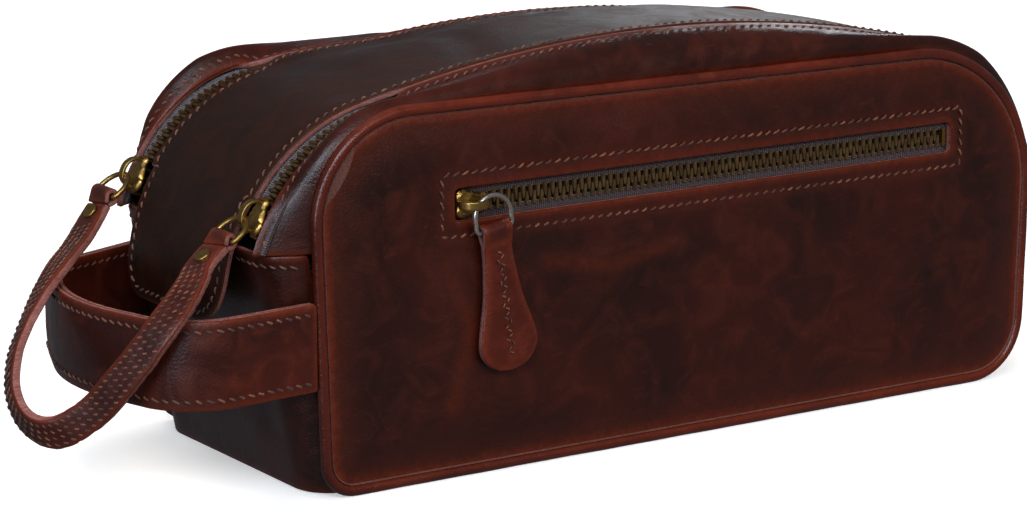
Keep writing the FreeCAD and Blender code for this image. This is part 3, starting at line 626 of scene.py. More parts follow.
def grain_leather(name, dark, mid, warm, rough, coat, pull):
    """Waxed pull-up leather: dark pools, lighter warm tones where it is bent and worn."""
    shade = Shade(name)
    pools = shade.noise(22, 4, 0.55, 0.6)
    blotches = shade.noise(75, 5, 0.6, 1.2)
    specks = shade.noise(420, 3, 0.7)
    colour = shade.blend(pools, 0.36, 0.64, dark, mid)
    wear = shade.field("wear")
    warmth = shade.math("MULTIPLY", shade.ramp(blotches, (0.45, 0.05), (0.78, 1.0)), pull)
    worn = shade.math("MULTIPLY", wear, shade.ramp(specks, (0.25, 0.35), (0.7, 0.9)))
    warmth = shade.math("MAXIMUM", warmth, worn)
    colour = shade.mix(warmth, colour, warm)
    scuffs = shade.noise(1, 3, 0.6, 0.4, shade.stretched((160, 900, 420), (0.3, 0.2, 0.6)))
    colour = shade.blend(scuffs, 0.62, 0.8, colour, warm, 0.22)
    pores = shade.cells(1500)
    folds = shade.noise(700, 4, 0.65, 1.0)
    skin = shade.math("ADD", shade.math("MULTIPLY", pores, 0.6), folds)
    waves = shade.bump(blotches, 0.0005, 0.35)
    normal = shade.bump(skin, 0.00012, 0.8, waves)
    gloss = shade.ramp(blotches, (0.35, rough - 0.06), (0.7, rough + 0.12))
    return shade.set(Base_Color=colour, Roughness=gloss, Normal=normal, Coat_Weight=coat,
                     Coat_Roughness=0.24, Specular_IOR_Level=0.35)


def cut_edge(name, light, dark):
    """The raw edge of cut leather: packed fibres in fine layers."""
    shade = Shade(name)
    fibres = shade.noise(1, 4, 0.7, 0.3, shade.stretched((500, 500, 2600)))
    patches = shade.noise(140, 3)
    colour = shade.blend(fibres, 0.3, 0.75, dark, light)
    colour = shade.blend(patches, 0.4, 0.7, colour, dark, 0.5)
    return shade.set(Base_Color=colour, Roughness=0.72, Normal=shade.bump(fibres, 0.0002, 0.7))


def flesh(name, light, dark):
    """The flesh side of leather: short fibres, matt."""
    shade = Shade(name)
    nap = shade.noise(900, 5, 0.75, 1.5)
    patches = shade.noise(60, 3)
    colour = shade.blend(nap, 0.3, 0.7, dark, light)
    colour = shade.blend(patches, 0.4, 0.75, colour, dark, 0.4)
    return shade.set(Base_Color=colour, Roughness=0.85, Normal=shade.bump(nap, 0.0003, 0.8))


def thread(name, light, dark):
    shade = Shade(name)
    along = shade.noise(260, 2)
    twist = shade.noise(3200, 2, 0.6)
    colour = shade.blend(along, 0.42, 0.62, dark, light)
    return shade.set(Base_Color=colour, Roughness=0.6, Normal=shade.bump(twist, 0.0001, 0.6),
                     Sheen_Weight=0.2)


def woven(name, light, dark, pitch):
    """Plain weave in a sheet's own flat directions, pitch in millimetres."""
    shade = Shade(name)
    flat = shade.field("flat", "Vector")
    scale = 2 * math.pi / (20 * pitch)
    weft, warp = (
        shade.node("ShaderNodeTexWave", {"Vector": flat, "Scale": scale * finer,
                                         "Distortion": 0.4}, bands_direction=way).outputs["Fac"]
        for way, finer in (("X", 1.0), ("Y", 1.6))
    )
    weave = shade.math("MULTIPLY", weft, warp)
    fuzz = shade.noise(1800, 3, 0.7)
    colour = shade.blend(weave, 0.05, 0.7, dark, light)
    colour = shade.blend(fuzz, 0.5, 0.8, colour, light, 0.35)
    return shade.set(Base_Color=colour, Roughness=0.82, Sheen_Weight=0.35, Sheen_Roughness=0.5,
                     Normal=shade.bump(weave, 0.0002, 0.9))


def metal(name, bright, dull, rough=0.3, age=0.5):
    shade = Shade(name)
    stain = shade.noise(320, 4, 0.6, 0.8)
    brushed = shade.noise(1, 2, 0.5, 0.0, shade.stretched((4000, 4000, 500)))
    colour = shade.mix(shade.ramp(stain, (0.38, age), (0.68, 0.0)), bright, dull)
    gloss = shade.ramp(stain, (0.3, rough + 0.22), (0.7, rough))
    return shade.set(Base_Color=colour, Metallic=1.0, Roughness=gloss,
                     Normal=shade.bump(brushed, 0.00003, 0.5))


SHELL = grain_leather("shell_leather_grain", rgb("1c0904"), rgb("300e06"), rgb("6a240c"),
                      rough=0.34, coat=0.2, pull=0.22)
LID = grain_leather("lid_leather_grain", rgb("160802"), rgb("260e03"), rgb("4a1e08"),
                    rough=0.42, coat=0.08, pull=0.25)
PIPING = grain_leather("piping_leather_grain", rgb("340e07"), rgb("521808"), rgb("7a3018"),
                       rough=0.28, coat=0.35, pull=0.4)
BELT = grain_leather("handle_leather_grain", rgb("2c0d07"), rgb("46160a"), rgb("742c12"),
                     rough=0.38, coat=0.15, pull=0.35)
EDGE = cut_edge("leather_cut_edge", rgb("a06a62"), rgb("5e2f27"))
FLESH = flesh("leather_flesh_side", rgb("6c4236"), rgb("482822"))
THREAD = thread("tan_thread", rgb("70422a"), rgb("3e2216"))
TAPE = woven("zip_tape_weave", rgb("42262a"), rgb("1e0e10"), 0.7)
LINING = woven("lining_weave", rgb("6a4e3c"), rgb("3c281b"), 0.9)
BRASS = metal("antique_brass", rgb("c9a058"), rgb("6a5028"), 0.28, 0.5)
TOOTH = metal("tooth_brass", rgb("c09a68"), rgb("4a3224"), 0.36, 0.7)
NICKEL = metal("pale_nickel", rgb("e6dfd0"), rgb("9d9484"), 0.2, 0.3)
SHELL_SKIN = (SHELL, EDGE, FLESH)
LID_SKIN = (LID, EDGE, FLESH)
BELT_SKIN = (BELT, EDGE, FLESH)
BAG_SHELL = ("bag", "shell_leather")


# ---- front, back
WINDOW_LOW, WINDOW_HIGH = np.array([-83.0, 75.0]), np.array([95.5, 84.2])
WINDOW_ROW = 4.3
SEAM_GAP = 1.65


def rectangle(low, high, radius=1.0):
    corners = [tuple(low), (high[0], low[1]), tuple(high), (low[0], high[1])]
    return open_loop(joined(*rounded(corners, [radius] * 4)))


def trimmed(surface, ends, sides, corner):
    """The outline of a whole surface, cut a little short at its ends and its sides."""
    return rectangle((ends, sides), (surface.length - ends, surface.breadth - sides), corner)


def pillow(gap, sink, reach):
    """The dip of a panel towards its seam."""
    return -sink * (1 - smooth(gap, -0.5, reach)) ** 1.6


# Soft bends of the front panel: (line in X and Z, half width, lift).
FRONT_BENDS = [
    ([(-118, 92), (-104, 60), (-108, 26)], 7.0, -0.5),
    ([(-96, 66), (-88, 48), (-92, 30)], 4.5, -0.45),
    ([(-86, 62), (-78, 44), (-84, 22)], 5.0, 0.4),
    ([(-60, 66), (-40, 62), (-18, 68)], 3.5, -0.35),
    ([(-52, 60), (-30, 56), (-8, 60)], 4.0, 0.35),
    ([(-46, 92), (-38, 98), (-26, 101)], 3.0, -0.3),
    ([(70, 20), (92, 36), (110, 30)], 9.0, -0.4),
    ([(40, 96), (70, 94), (96, 90)], 5.0, -0.3),
]
FRONT_MOST = 0.85


def make_panels():
    outline = inset(SEAM, SEAM_GAP)
    window = rectangle(WINDOW_LOW, WINDOW_HIGH)
    row = closed_loop(rectangle(WINDOW_LOW - WINDOW_ROW, WINDOW_HIGH + WINDOW_ROW, 1.5))

    def rim_wear(flat):
        return 0.3 * np.exp(-(gap_to(flat, outline, True) / 8) ** 2)

    def front_relief(flat, gap):
        edge_gap = gap_to(flat, outline, True)
        lift = pillow(edge_gap, 1.9, 17)
        lift += 0.75 * smooth(edge_gap, 6, 45)
        for line, width, height in FRONT_BENDS:
            lift += height * crease(flat, line, width)
        lift -= 0.3 * crease(flat, row, 1.0)
        lift += 0.25 * crease(flat, closed_loop(window), 1.6)
        return np.minimum(lift, FRONT_MOST)

    def front_wear(flat):
        worn = rim_wear(flat)
        for line, width, height in FRONT_BENDS:
            worn += 0.35 * crease(flat, line, width * 0.7) * (height > 0)
        return worn + 0.25 * crease(flat, row, 2.5)

    def back_relief(flat, gap):
        lift = pillow(gap, 1.9, 18) + 0.9 * smooth(gap, 6, 50)
        lift -= 0.5 * crease(flat, [(-100, 80), (-92, 50), (-100, 20)], 8)
        return lift + 0.4 * crease(flat, [(60, 86), (84, 60), (92, 26)], 9)

    face = wall(-PANEL_Y)
    leather("front_panel_leather", face, outline, SHELL_SKIN, (*BAG_SHELL, "front_panel"),
            [window], front_relief, wear=front_wear, edge=0.7)
    stitches("front_window_stitches", [(face, row, 0.3)], BAG_SHELL)
    leather("back_panel_leather", wall(PANEL_Y), outline, SHELL_SKIN,
            (*BAG_SHELL, "back_panel"), (), back_relief, wear=rim_wear)


# ---- piping
CORD_SIDES = 14
CORD_UNEVEN = 0.018


def cord(name, line, ride):
    """A leather-covered cord along a closed line, a little uneven, and never below the base."""
    tangent = unit(np.roll(line, -1, 0) - np.roll(line, 1, 0))
    first = unit(np.cross(tangent, (0.0, 1.0, 0.0)))
    second = np.cross(tangent, first)
    way = travelled(line)
    ripple = np.sin(way / 7.3) + np.sin(way / 3.1 + 1.7) + np.sin(way / 17 + 0.4)
    radius = PIPING_R * (1 + CORD_UNEVEN * ripple)
    angle = 2 * math.pi * np.arange(CORD_SIDES) / CORD_SIDES
    ring = first[:, None] * np.cos(angle)[:, None] + second[:, None] * np.sin(angle)[:, None]
    points = line[:, None] + ring * radius[:, None, None]
    points[..., 2] = np.maximum(points[..., 2], 0.0)
    faces = []
    count = len(line)
    for i in range(count):
        here, after = i * CORD_SIDES, (i + 1) % count * CORD_SIDES
        for k in range(CORD_SIDES):
            beside = (k + 1) % CORD_SIDES
            faces.append((here + k, here + beside, after + beside, after + k))
    flat = np.column_stack([np.repeat(way, CORD_SIDES), np.tile(angle * PIPING_R, count),
                            np.zeros(count * CORD_SIDES)])
    wear = 0.4 * np.tile(0.5 + 0.5 * np.cos(angle), count)
    piece = mesh_object(name, points.reshape(-1, 3), faces, [PIPING],
                        fields={"wear": wear, "flat": flat}, sharp=80)
    return finished(piece, *ride)


def make_piping():
    line = evenly(closed_loop(SEAM), 1.8)[:-1]
    for name, side in (("front", -1), ("back", 1)):
        cord(f"{name}_piping_leather", raised(line, side * PIPING_Y),
             ("bag", "piping_leather", f"{name}_piping"))


# ---- ends, base, gusset
def end_plan(flat_x, corner, direction):
    """Plan of an end panel at one height, from its front edge to its back edge."""
    x, y = flat_x - direction * corner, END_HALF - corner
    side = 0 if direction > 0 else 180
    return [
        arc((x, -y), corner, 270 - 360 * (direction > 0), side),
        run((flat_x, -y), (flat_x, y)),
        arc((x, y), corner, side, 90),
    ]


def matched(lines, counts):
    """Each line resampled to a count, so that two chains match point for point."""
    parts = []
    for line, count in zip(lines, counts):
        way = travelled(line)
        at = np.linspace(0, way[-1], count)
        parts.append(np.stack([np.interp(at, way, line[:, k]) for k in (0, 1)], 1)[:-1])
    parts.append(lines[-1][-1:])
    return np.concatenate(parts)


# An end panel's direction, its X at the foot and at the top, its corners there, and its height.
ENDS = {
    "left": (-1, 125.5, 139.4, 13.0, 12.4, END_TOP_LEFT),
    "right": (1, 120.5, 137.2, 9.0, 10.0, END_TOP_RIGHT),
}
END_ROW = 3.2
BASE_CORNER = 11.0
BASE_CLEAR = 0.02


def end_surface(name):
    direction, low_x, high_x, low_corner, high_corner, top = ENDS[name]
    counts = (14, 50, 14)
    low = matched(end_plan(direction * low_x, low_corner, direction), counts)
    high = matched(end_plan(direction * high_x, high_corner, direction), counts)
    return ruled(upright(low, 0), upright(high, top), (direction, 0, 0))


def make_ends():
    for name in ("left", "right"):
        surface = end_surface(name)
        wide, tall = surface.length, surface.breadth
        outline = rectangle((0.05, 0.05), (wide - 0.05, tall), 0.4)
        top_row = run((4, tall - END_ROW), (wide - 4, tall - END_ROW))

        def relief(flat, gap):
            s, t = flat.T
            side = np.minimum(s, wide - s)
            belly = smooth(side, 6, 40) * smooth(t, 0, 18) * (1 - smooth(t, tall - 16, tall))
            lift = 0.7 * belly - 0.9 * (1 - smooth(side, 0, 14))
            lift -= 0.25 * crease(flat, top_row, 1.0)
            return lift - 0.5 * crease(flat, [(18, 60), (30, 44), (26, 20)], 6)

        leather(f"{name}_end_leather", surface, outline, SHELL_SKIN,
                (*BAG_SHELL, f"{name}_end_panel"), (), relief)
        stitches(f"{name}_end_stitches", [(surface, top_row, -0.15)], BAG_SHELL)


def make_base():
    low, high = box_of("base_panel")
    outline = rectangle(low[:2], high[:2], BASE_CORNER)

    def floor(s, t, lift=0.0):
        s, t = np.broadcast_arrays(np.asarray(s, float), np.asarray(t, float))
        return np.stack([s, t, BASE_CLEAR - np.minimum(lift, 0) * np.ones(s.shape)], -1)

    leather("base_leather", floor, outline, SHELL_SKIN, (*BAG_SHELL, "base_panel"),
            spacing=4.0, edge=0.4)


LID_END = 23.0
STRIP_DEPTH = 3.0
STRIP_HALF = 38.0
STRIP_LAP = 4.0
STRIP_REACH = 7.0


def make_hinge_strip():
    """The strip that the lid bends on, sewn inside the far end panel and under the lid."""
    low = level_at(FAR_SHOULDER, END_TOP_RIGHT - STRIP_LAP)
    line = arc(FAR_SHOULDER, SHOULDER_R - STRIP_DEPTH, low, LID_END + STRIP_REACH)
    surface = spread(line, -STRIP_HALF, STRIP_HALF, (1, 0, 0))
    outline = trimmed(surface, 0.0, 0.0, 0.4)
    leather("hinge_strip_leather", surface, outline, LID_SKIN, BAG_SHELL)


# The gusset's soft bulge over its straight rules, by place along the bag.
BULGE_X = [-140, -128, -112, -85, -20, 40, 80, 115, 137]
BULGE = {
    "front": [0.6, 1.8, 3.0, 3.0, 2.6, 3.6, 4.6, 4.4, 0.8],
    "back": [0.6, 4.2, 6.2, 4.0, 2.2, 2.4, 2.8, 3.4, 0.8],
}
# Past the sliders' travel the leather edges close over the teeth.
CLOSING_FROM, CLOSING_TO = -102.0, -88.0
FLAP = 4.1
FLAP_LIFT = 1.1
FLAP_SHARE = 0.98
GUSSET_FOOT = 0.2
GUSSET_SPLIT = 14.0
GUSSET_RULES = 11
GUSSET_ROW = 2.5
# The zip edge of the cut piece ends a hair inside its surface.
EDGE_SCALE, EDGE_SHIFT = (0.9998, 1), (0.02, 0)


def gusset_lines(side):
    """The gusset's seam line and its zip edge, matched point for point."""
    left_top = END_TOP_LEFT + GUSSET_FOOT
    right_top = END_TOP_RIGHT + GUSSET_FOOT
    right_arc, top_run, left_arc, left_run = SEAM_LINES[4:8]
    left_end, left_start = left_run[-1], left_run[0]
    share = (left_top - left_end[1]) / (left_start[1] - left_end[1])
    foot = left_end + share * (left_start - left_end)
    keep = right_arc[right_arc[:, 1] >= right_top]
    outer = [run(foot, left_arc[-1]), left_arc[::-1], top_run[::-1], keep[::-1]]
    left = level_at(SHOULDER, left_top)
    split = left + GUSSET_SPLIT
    inner = [arc(SHOULDER, SHOULDER_R, 180 - left, 180 - split),
             *lid_lines(split, level_at(FAR_SHOULDER, right_top))]
    counts = (24, 40, 120, 50)
    low = raised(matched(outer, counts), side * GUSSET_LOW_Y)
    return low, raised(matched(inner, counts), side * GUSSET_HIGH_Y)


def gusset_surface(name, side):
    """The gusset from its seam up to its zip edge, and the flap beyond that edge."""
    low, high = gusset_lines(side)
    rule = high - low
    tangent = np.gradient(low + high, axis=0)
    out = unit(np.cross(tangent, rule))
    out *= math.copysign(1.0, out[len(out) // 2, 2])
    swell = np.interp(high[:, 0], BULGE_X, BULGE[name])[:, None]
    share = np.linspace(0, 1, GUSSET_RULES)
    rows = [low + rule * u + out * swell * math.sin(math.pi * u) ** 0.85 for u in share]
    rise = unit(np.cross(np.gradient(high, axis=0), (0, 1, 0)))
    rise *= math.copysign(1.0, rise[len(rise) // 2, 2])
    closed = smooth(high[:, 0], CLOSING_FROM, CLOSING_TO)[:, None]
    for u in np.linspace(0, 1, 5)[1:]:
        rows.append(high + np.array([0, -side * FLAP * u, 0]) + rise * FLAP_LIFT * closed * u)
    surface = Sheet(np.stack(rows, 1), (0, side * 0.3, 1))
    edge = surface.t_way[GUSSET_RULES - 1] + FLAP * FLAP_SHARE * closed[:, 0]
    return surface, np.column_stack([surface.s_way, edge])


def make_gussets():
    for name, side in (("front", -1), ("back", 1)):
        surface, edge = gusset_surface(name, side)
        wide = surface.length
        zip_edge = evenly(edge, 1.2)[::-1] * EDGE_SCALE + EDGE_SHIFT
        outline = joined(run((0.05, 0.0), (wide - 0.05, 0.0)), zip_edge)
        row = evenly(edge[3:-3] - (0, GUSSET_ROW), 1.0)
        folds = [wide * share for share in (0.36, 0.41, 0.46, 0.50, 0.55, 0.60, 0.66)]

        def relief(flat, gap):
            lift = -0.25 * crease(flat, row, 0.9)
            for k, s in enumerate(folds):
                bend = [(s - 4, 1), (s + 2 * math.sin(k * 2.1), 6), (s + 4, 12)]
                lift += (0.3 if k % 2 else -0.35) * crease(flat, bend, 2.6)
            return lift * smooth(gap, -0.5, 2.0)

        leather(f"{name}_gusset_leather", surface, open_loop(outline), SHELL_SKIN,
                (*BAG_SHELL, f"{name}_gusset"), (), relief, spacing=1.3, edge=0.5, follow=True)
        stitches(f"{name}_gusset_stitches", [(surface, row, -0.1)], BAG_SHELL)


# ---- lid
TONGUE_HALF = 27.9
TONGUE_TOP_Z = 84.0
LID_ROWS = 19
TONGUE_CORNER_NEAR, TONGUE_CORNER_FAR = 16.0, 8.0
LID_MARGIN = 2.6


def lid_surface(half):
    leftmost = SHOULDER[0] - SHOULDER_R
    tongue = run((leftmost, TONGUE_LOW), (leftmost, SHOULDER[1]))
    line = evenly(joined(tongue, *lid_lines(0.0, LID_END)), 1.0)
    return spread(line, -half, half, rows=LID_ROWS)


def make_lid():
    surface = lid_surface(LID_HALF + FLAP)
    middle = surface.breadth / 2
    s = surface.s_way
    closed = smooth(surface.grid[:, LID_ROWS // 2, 0], CLOSING_FROM, CLOSING_TO)
    neck = SHOULDER[1] - TONGUE_LOW
    neck += math.radians(level_at(SHOULDER, TONGUE_TOP_Z)) * SHOULDER_R
    side = np.where(s < neck, TONGUE_HALF, LID_HALF) + FLAP * FLAP_SHARE * closed

    def ring(inward):
        """The lid's outline, moved inward."""
        sides, corners = [], []
        for radius, sign in ((TONGUE_CORNER_FAR, 1), (TONGUE_CORNER_NEAR, -1)):
            body = (s > radius) & (s < surface.length - inward)
            sides.append(np.column_stack([s[body], middle + sign * (side[body] - inward)]))
            centre = (radius, middle + sign * (TONGUE_HALF - radius))
            turn = (90, 180) if sign > 0 else (180, 270)
            corners.append(arc(centre, radius - inward, *turn))
        return joined(sides[0][::-1], *corners, sides[1])

    outline = ring(0.0)
    row = ring(LID_MARGIN)

    def relief(flat, gap):
        across = np.abs(flat[:, 1] - middle)
        along = np.interp(flat[:, 0], s, closed)
        lift = FLAP_LIFT * along * smooth(across, 27, 31.5)
        lift += 0.3 * (1 - (across / middle) ** 2) * smooth(flat[:, 0], 8, 60)
        lift -= 0.25 * crease(flat, row, 0.9)
        lift -= 0.6 * crease(flat, [(84, 16), (96, 34), (90, 54)], 7)
        lift -= 0.5 * crease(flat, [(126, 12), (134, 34), (128, 58)], 6)
        return lift + 0.4 * crease(flat, [(200, 12), (214, 34), (206, 58)], 10)

    leather("lid_leather", surface, open_loop(outline), LID_SKIN,
            ("lid", "lid_leather", "lid_panel"), (), relief, follow=True, spacing=1.8)
    stitches("lid_stitches", [(surface, row, lambda flat: relief(flat, 0) + 0.15)],
             ("lid", "lid_leather"))


# ---- zips
TEETH_MIDDLE = 2.4
TAPE_TOP = 2.05
TAPE_THICK = 0.7
TOOTH_PITCH = 2.5
ZIP_REACH = 4.0
TAPE_GAP = 2.2
# How far each tape reaches from the zip's middle.
OUTER_TAPE, INNER_TAPE, POCKET_TAPE = 8.0, 9.0, 7.4
# The inner tape's two ends, and the teeth's clearance at theirs, in degrees on the shoulders.
INNER_FROM, INNER_TO = 33.7, 24.0
TEETH_TURN = 1.2
TAPE_CLEAR = 1.4
END_CLEAR = 0.6
POCKET_TAPE_Y, POCKET_TEETH_Y = -48.9, -48.6
TOOTH_PLAN = [(2.8, -0.52), (0.7, -0.62), (-0.45, -0.46), (-0.95, -0.18),
              (-0.95, 0.18), (-0.45, 0.46), (0.7, 0.62), (2.8, 0.52)]
TOOTH_LEVELS = [(-1.2, 0.9), (-0.7, 1.0), (0.75, 1.0), (1.2, 0.72)]


def teeth(name, surface, ride, side, start, end, shift):
    """A row of teeth clamped on one tape; side is +1 where the tape lies at larger t.

    The zip's middle runs along the surface at t = ZIP_REACH.
    """
    shape = np.array([(along * scale, across, height)
                      for height, scale in TOOTH_LEVELS for across, along in TOOTH_PLAN])
    places = np.arange(start + shift, end, TOOTH_PITCH)
    tilt = random.normal(0, 0.03, len(places))
    s = places[:, None] + shape[:, 0] + tilt[:, None] * shape[:, 1]
    t = ZIP_REACH + side * np.tile(shape[:, 1], (len(places), 1))
    lift = np.tile(shape[:, 2], (len(places), 1))
    points = surface(s, t, lift).reshape(-1, 3)
    faces = copies(ring_faces(len(TOOTH_LEVELS), len(TOOTH_PLAN)), len(shape), len(places))
    return finished(mesh_object(name, points, faces, [TOOTH], sharp=40), *ride)


def zip_tape(name, surface, outline, ride):
    leather(name, surface, outline, (TAPE,), ride, thick=TAPE_THICK, edge=0.15)


def make_main_zips():
    left = level_at(SHOULDER, END_TOP_LEFT + TAPE_CLEAR)
    right = level_at(FAR_SHOULDER, END_TOP_RIGHT + TAPE_CLEAR)
    kinds = (("outer", 1, OUTER_TAPE, left, right, "bag"),
             ("inner", -1, INNER_TAPE, INNER_FROM, INNER_TO, "lid"))
    for name, side in (("front", -1), ("back", 1)):
        for kind, away, reach, begin, finish, body in kinds:
            line = evenly(joined(*lid_lines(begin, finish, TAPE_TOP)), 1.0)
            near, far = (side * (ZIP_Y + away * gap) for gap in (TAPE_GAP, reach))
            surface = spread(line, near, far)
            zip_tape(f"{name}_{kind}_tape_cloth", surface, trimmed(surface, 0.1, 0.0, 0.2),
                     (body, "zip_tape", f"{name}_{kind}_tape"))
            begin, finish = begin + TEETH_TURN, finish + TEETH_TURN
            line = evenly(joined(*lid_lines(begin, finish, TEETH_MIDDLE)), 1.0)
            near, far = (side * (ZIP_Y + gap) for gap in (-ZIP_REACH, ZIP_REACH))
            surface = spread(line, near, far)
            crown = SHOULDER_R - TEETH_MIDDLE
            shift = math.radians(180 - begin - CROWN_FROM) * crown % TOOTH_PITCH
            if kind == "inner":
                shift = (shift + TOOTH_PITCH / 2) % TOOTH_PITCH
            teeth(f"{name}_{kind}_zip_teeth", surface,
                  (body, "zip_brass", f"{name}_{kind}_teeth"), away, END_CLEAR,
                  surface.length - END_CLEAR, shift)


def make_pocket_zip():
    z = (WINDOW_LOW[1] + WINDOW_HIGH[1]) / 2
    left, right = -100, 100
    for name, up in (("upper", 1), ("lower", -1)):
        low, high = sorted((z + up * TAPE_GAP, z + up * POCKET_TAPE))
        outline = rectangle((WINDOW_LOW[0] - 3, low), (WINDOW_HIGH[0] + 3, high), 0.2)
        zip_tape(f"pocket_{name}_tape_cloth", wall(POCKET_TAPE_Y), outline,
                 ("bag", "zip_tape", f"pocket_{name}_tape"))
        rules = [raised(run((left, level), (right, level)), POCKET_TEETH_Y)
                 for level in (z - ZIP_REACH, z + ZIP_REACH)]
        plane = ruled(*rules, (0, -1, 0))
        teeth(f"pocket_{name}_zip_teeth", plane, ("bag", "zip_brass", f"pocket_{name}_teeth"),
              up, WINDOW_LOW[0] - left + 1.5, WINDOW_HIGH[0] - left - 2.2,
              0 if up > 0 else TOOTH_PITCH / 2)


# ---- sliders
SLIDER_TOP = 2.7
SLIDER_PLATE = 1.2
SLIDER_SIDE = [(-4.2, 0.0), (-5.3, 1.3), (-5.2, 3.0), (-3.6, 4.1), (-1.0, 3.8), (2.2, 2.7),
               (4.6, 2.5), (5.4, 1.6), (5.5, 0.0)]
BRIDGE_LINE = [(-4.9, 2.3), (-4.7, 4.4), (-3.6, 6.3), (-1.4, 7.3), (1.2, 7.2), (3.2, 6.0),
               (4.2, 4.2), (4.4, 2.3)]
RAIL_SCALE = (0.86, 0.78)
BRIDGE_HALF = 1.3
BRIDGE_THICK = 0.9
RING_SEAT = (1.9, 5.6)


def make_slider(name, origin, along, across, out):
    """A heart-shaped plate with an arched bridge for the ring."""
    origin, along, across, out = (np.asarray(v, float) for v in (origin, along, across, out))
    side = curve_through(np.array(SLIDER_SIDE), 6)
    outline = joined(side, side[::-1] * (1, -1))
    face = flat_frame(origin + out * SLIDER_TOP, along, across, out)
    rail = side * RAIL_SCALE

    def relief(flat, gap):
        lift = 0.35 * crease(flat, rail, 0.45) + 0.35 * crease(flat, rail * (1, -1), 0.45)
        return lift - 0.25 * smooth(np.abs(flat[:, 1]), 1.5, 4)

    leather(f"{name}_plate", face, open_loop(outline), (BRASS,), (name, "slider_brass", name),
            (), relief, thick=SLIDER_PLATE, spacing=0.55, edge=0.4, follow=True)
    arch = curve_through(np.array(BRIDGE_LINE), 5)
    line = origin + arch[:, :1] * along + arch[:, 1:] * out
    strip = ruled(line - across * BRIDGE_HALF, line + across * BRIDGE_HALF, out, 5)
    outline = trimmed(strip, 0.05, 0.05, 0.3)
    leather(f"{name}_arch", strip, outline, (BRASS,), (name, "slider_brass", f"{name}_bridge"),
            thick=BRIDGE_THICK, spacing=0.5, edge=0.3)


def make_sliders():
    seat = place_of("front_ring_swing")[[0, 2]]
    level = math.atan2(seat[1] - SHOULDER[1], SHOULDER[0] - seat[0])
    radius = SHOULDER_R - TEETH_MIDDLE
    level += math.atan(RING_SEAT[0] / (radius + RING_SEAT[1]))
    along = np.array([math.sin(level), 0, math.cos(level)])
    out = np.array([-math.cos(level), 0, math.sin(level)])
    middle = np.array([SHOULDER[0], 0, SHOULDER[1]]) + radius * out
    for name, side in (("front", -1), ("back", 1)):
        origin = middle + (0, side * ZIP_Y, 0)
        make_slider(f"{name}_slider", origin, along, (0, 1, 0), out)
    low, high = box_of("pocket_slider")
    origin = ((low[0] + high[0]) / 2, POCKET_TEETH_Y, (low[2] + high[2]) / 2)
    make_slider("pocket_slider", origin, (1, 0, 0), (0, 0, 1), (0, -1, 0))


# ---- linings
CLOTH = 0.5
LINING_INSET = 3.9
LINING_FRONT_Y, LINING_BACK_Y = -42.6, 47.8
UNDER_TOP = 5.2
FLANK_X, FLANK_Z = 100.0, 66.0
ROOF_FROM, ROOF_TO, ROOF_DEPTH = 40.0, 26.0, 2.1


def under_top(line):
    """The line kept below the lid's profile."""
    moved = line.copy()
    for centre, side in ((SHOULDER, -1), (FAR_SHOULDER, 1)):
        away = line - centre
        distance = np.linalg.norm(away, axis=1)
        beyond = (side * away[:, 0] > 0) & (away[:, 1] > 0) & (distance > SHOULDER_R - UNDER_TOP)
        moved[beyond] = (centre + away / distance[:, None] * (SHOULDER_R - UNDER_TOP))[beyond]
    drop = np.linalg.norm(line - CROWN_CENTRE, axis=1) - (CROWN_R - UNDER_TOP)
    between = (line[:, 0] > SHOULDER[0] - 20) & (line[:, 0] < FAR_SHOULDER[0] + 14) & (drop > 0)
    moved[between, 1] -= drop[between]
    return moved


def lining_piece(name, surface, outline, body, nodes=(), holes=(), relief=None):
    """A sheet of lining cloth, laid on its surface from the flat outline it was cut to."""
    piece = leather(name, surface, outline, (LINING,), (body, "lining_cloth", *nodes), holes,
                    relief, thick=CLOTH, spacing=3.0, edge=0.1, follow=True)


def flank_point(loop, side):
    """Index of the point where the loop's left (-1) or right (1) flank is at FLANK_Z."""
    off = np.where(side * loop[:, 0] >= FLANK_X, np.abs(loop[:, 1] - FLANK_Z), np.inf)
    return int(np.argmin(off))


def make_linings():
    loop = under_top(inset(evenly(closed_loop(SEAM), 3.0)[:-1], LINING_INSET))

    def slack(flat, gap):
        waves = np.sin(flat[:, 0] / 11) * np.sin(flat[:, 1] / 15 + 1)
        return -0.5 * (1 + waves) * smooth(gap, 0, 14)

    lining_piece("front_lining", wall(LINING_FRONT_Y), loop, "bag", ["main_lining"],
                 relief=slack)
    lining_piece("back_lining", wall(LINING_BACK_Y), loop, "bag", relief=slack)
    left, right = (flank_point(loop, side) for side in (-1, 1))
    around = np.roll(loop, -left, 0)[:(right - left) % len(loop) + 1]
    wrap = spread(around, LINING_FRONT_Y + 0.3, LINING_BACK_Y - 0.3, (0, 0, -1), 9)
    lining_piece("base_lining", wrap, trimmed(wrap, 0.5, 0.3, 1.0), "bag", relief=slack)

    low, high = box_of("lid_lining")
    line = evenly(joined(*lid_lines(ROOF_FROM, ROOF_TO, ROOF_DEPTH)), 2.0)
    roof = spread(line, low[1] + 0.2, high[1] - 0.2, rows=9)
    lining_piece("lid_lining_cloth", roof, trimmed(roof, 0.3, 0.2, 1.0), "lid",
                 ["lid_lining"])

    low, high = box_of("pocket_lining")
    outline = rectangle((low[0] + 0.5, low[2] + 0.5), (high[0] - 0.5, high[2] - 0.5), 4.0)
    gap = rectangle(WINDOW_LOW - 1.0, WINDOW_HIGH + 1.0)
    lining_piece("pocket_front_lining", wall(low[1] + 0.75), outline, "bag", ["pocket_lining"],
                 [gap])
    lining_piece("pocket_back_lining", wall(high[1] - 0.7 - CLOTH), outline, "bag")


def dress(nodes, material):
    """CAD nodes that stay, with a finished material."""
    for node in nodes:
        for slot in frame["nodes"][node].material_slots:
            slot.material = material


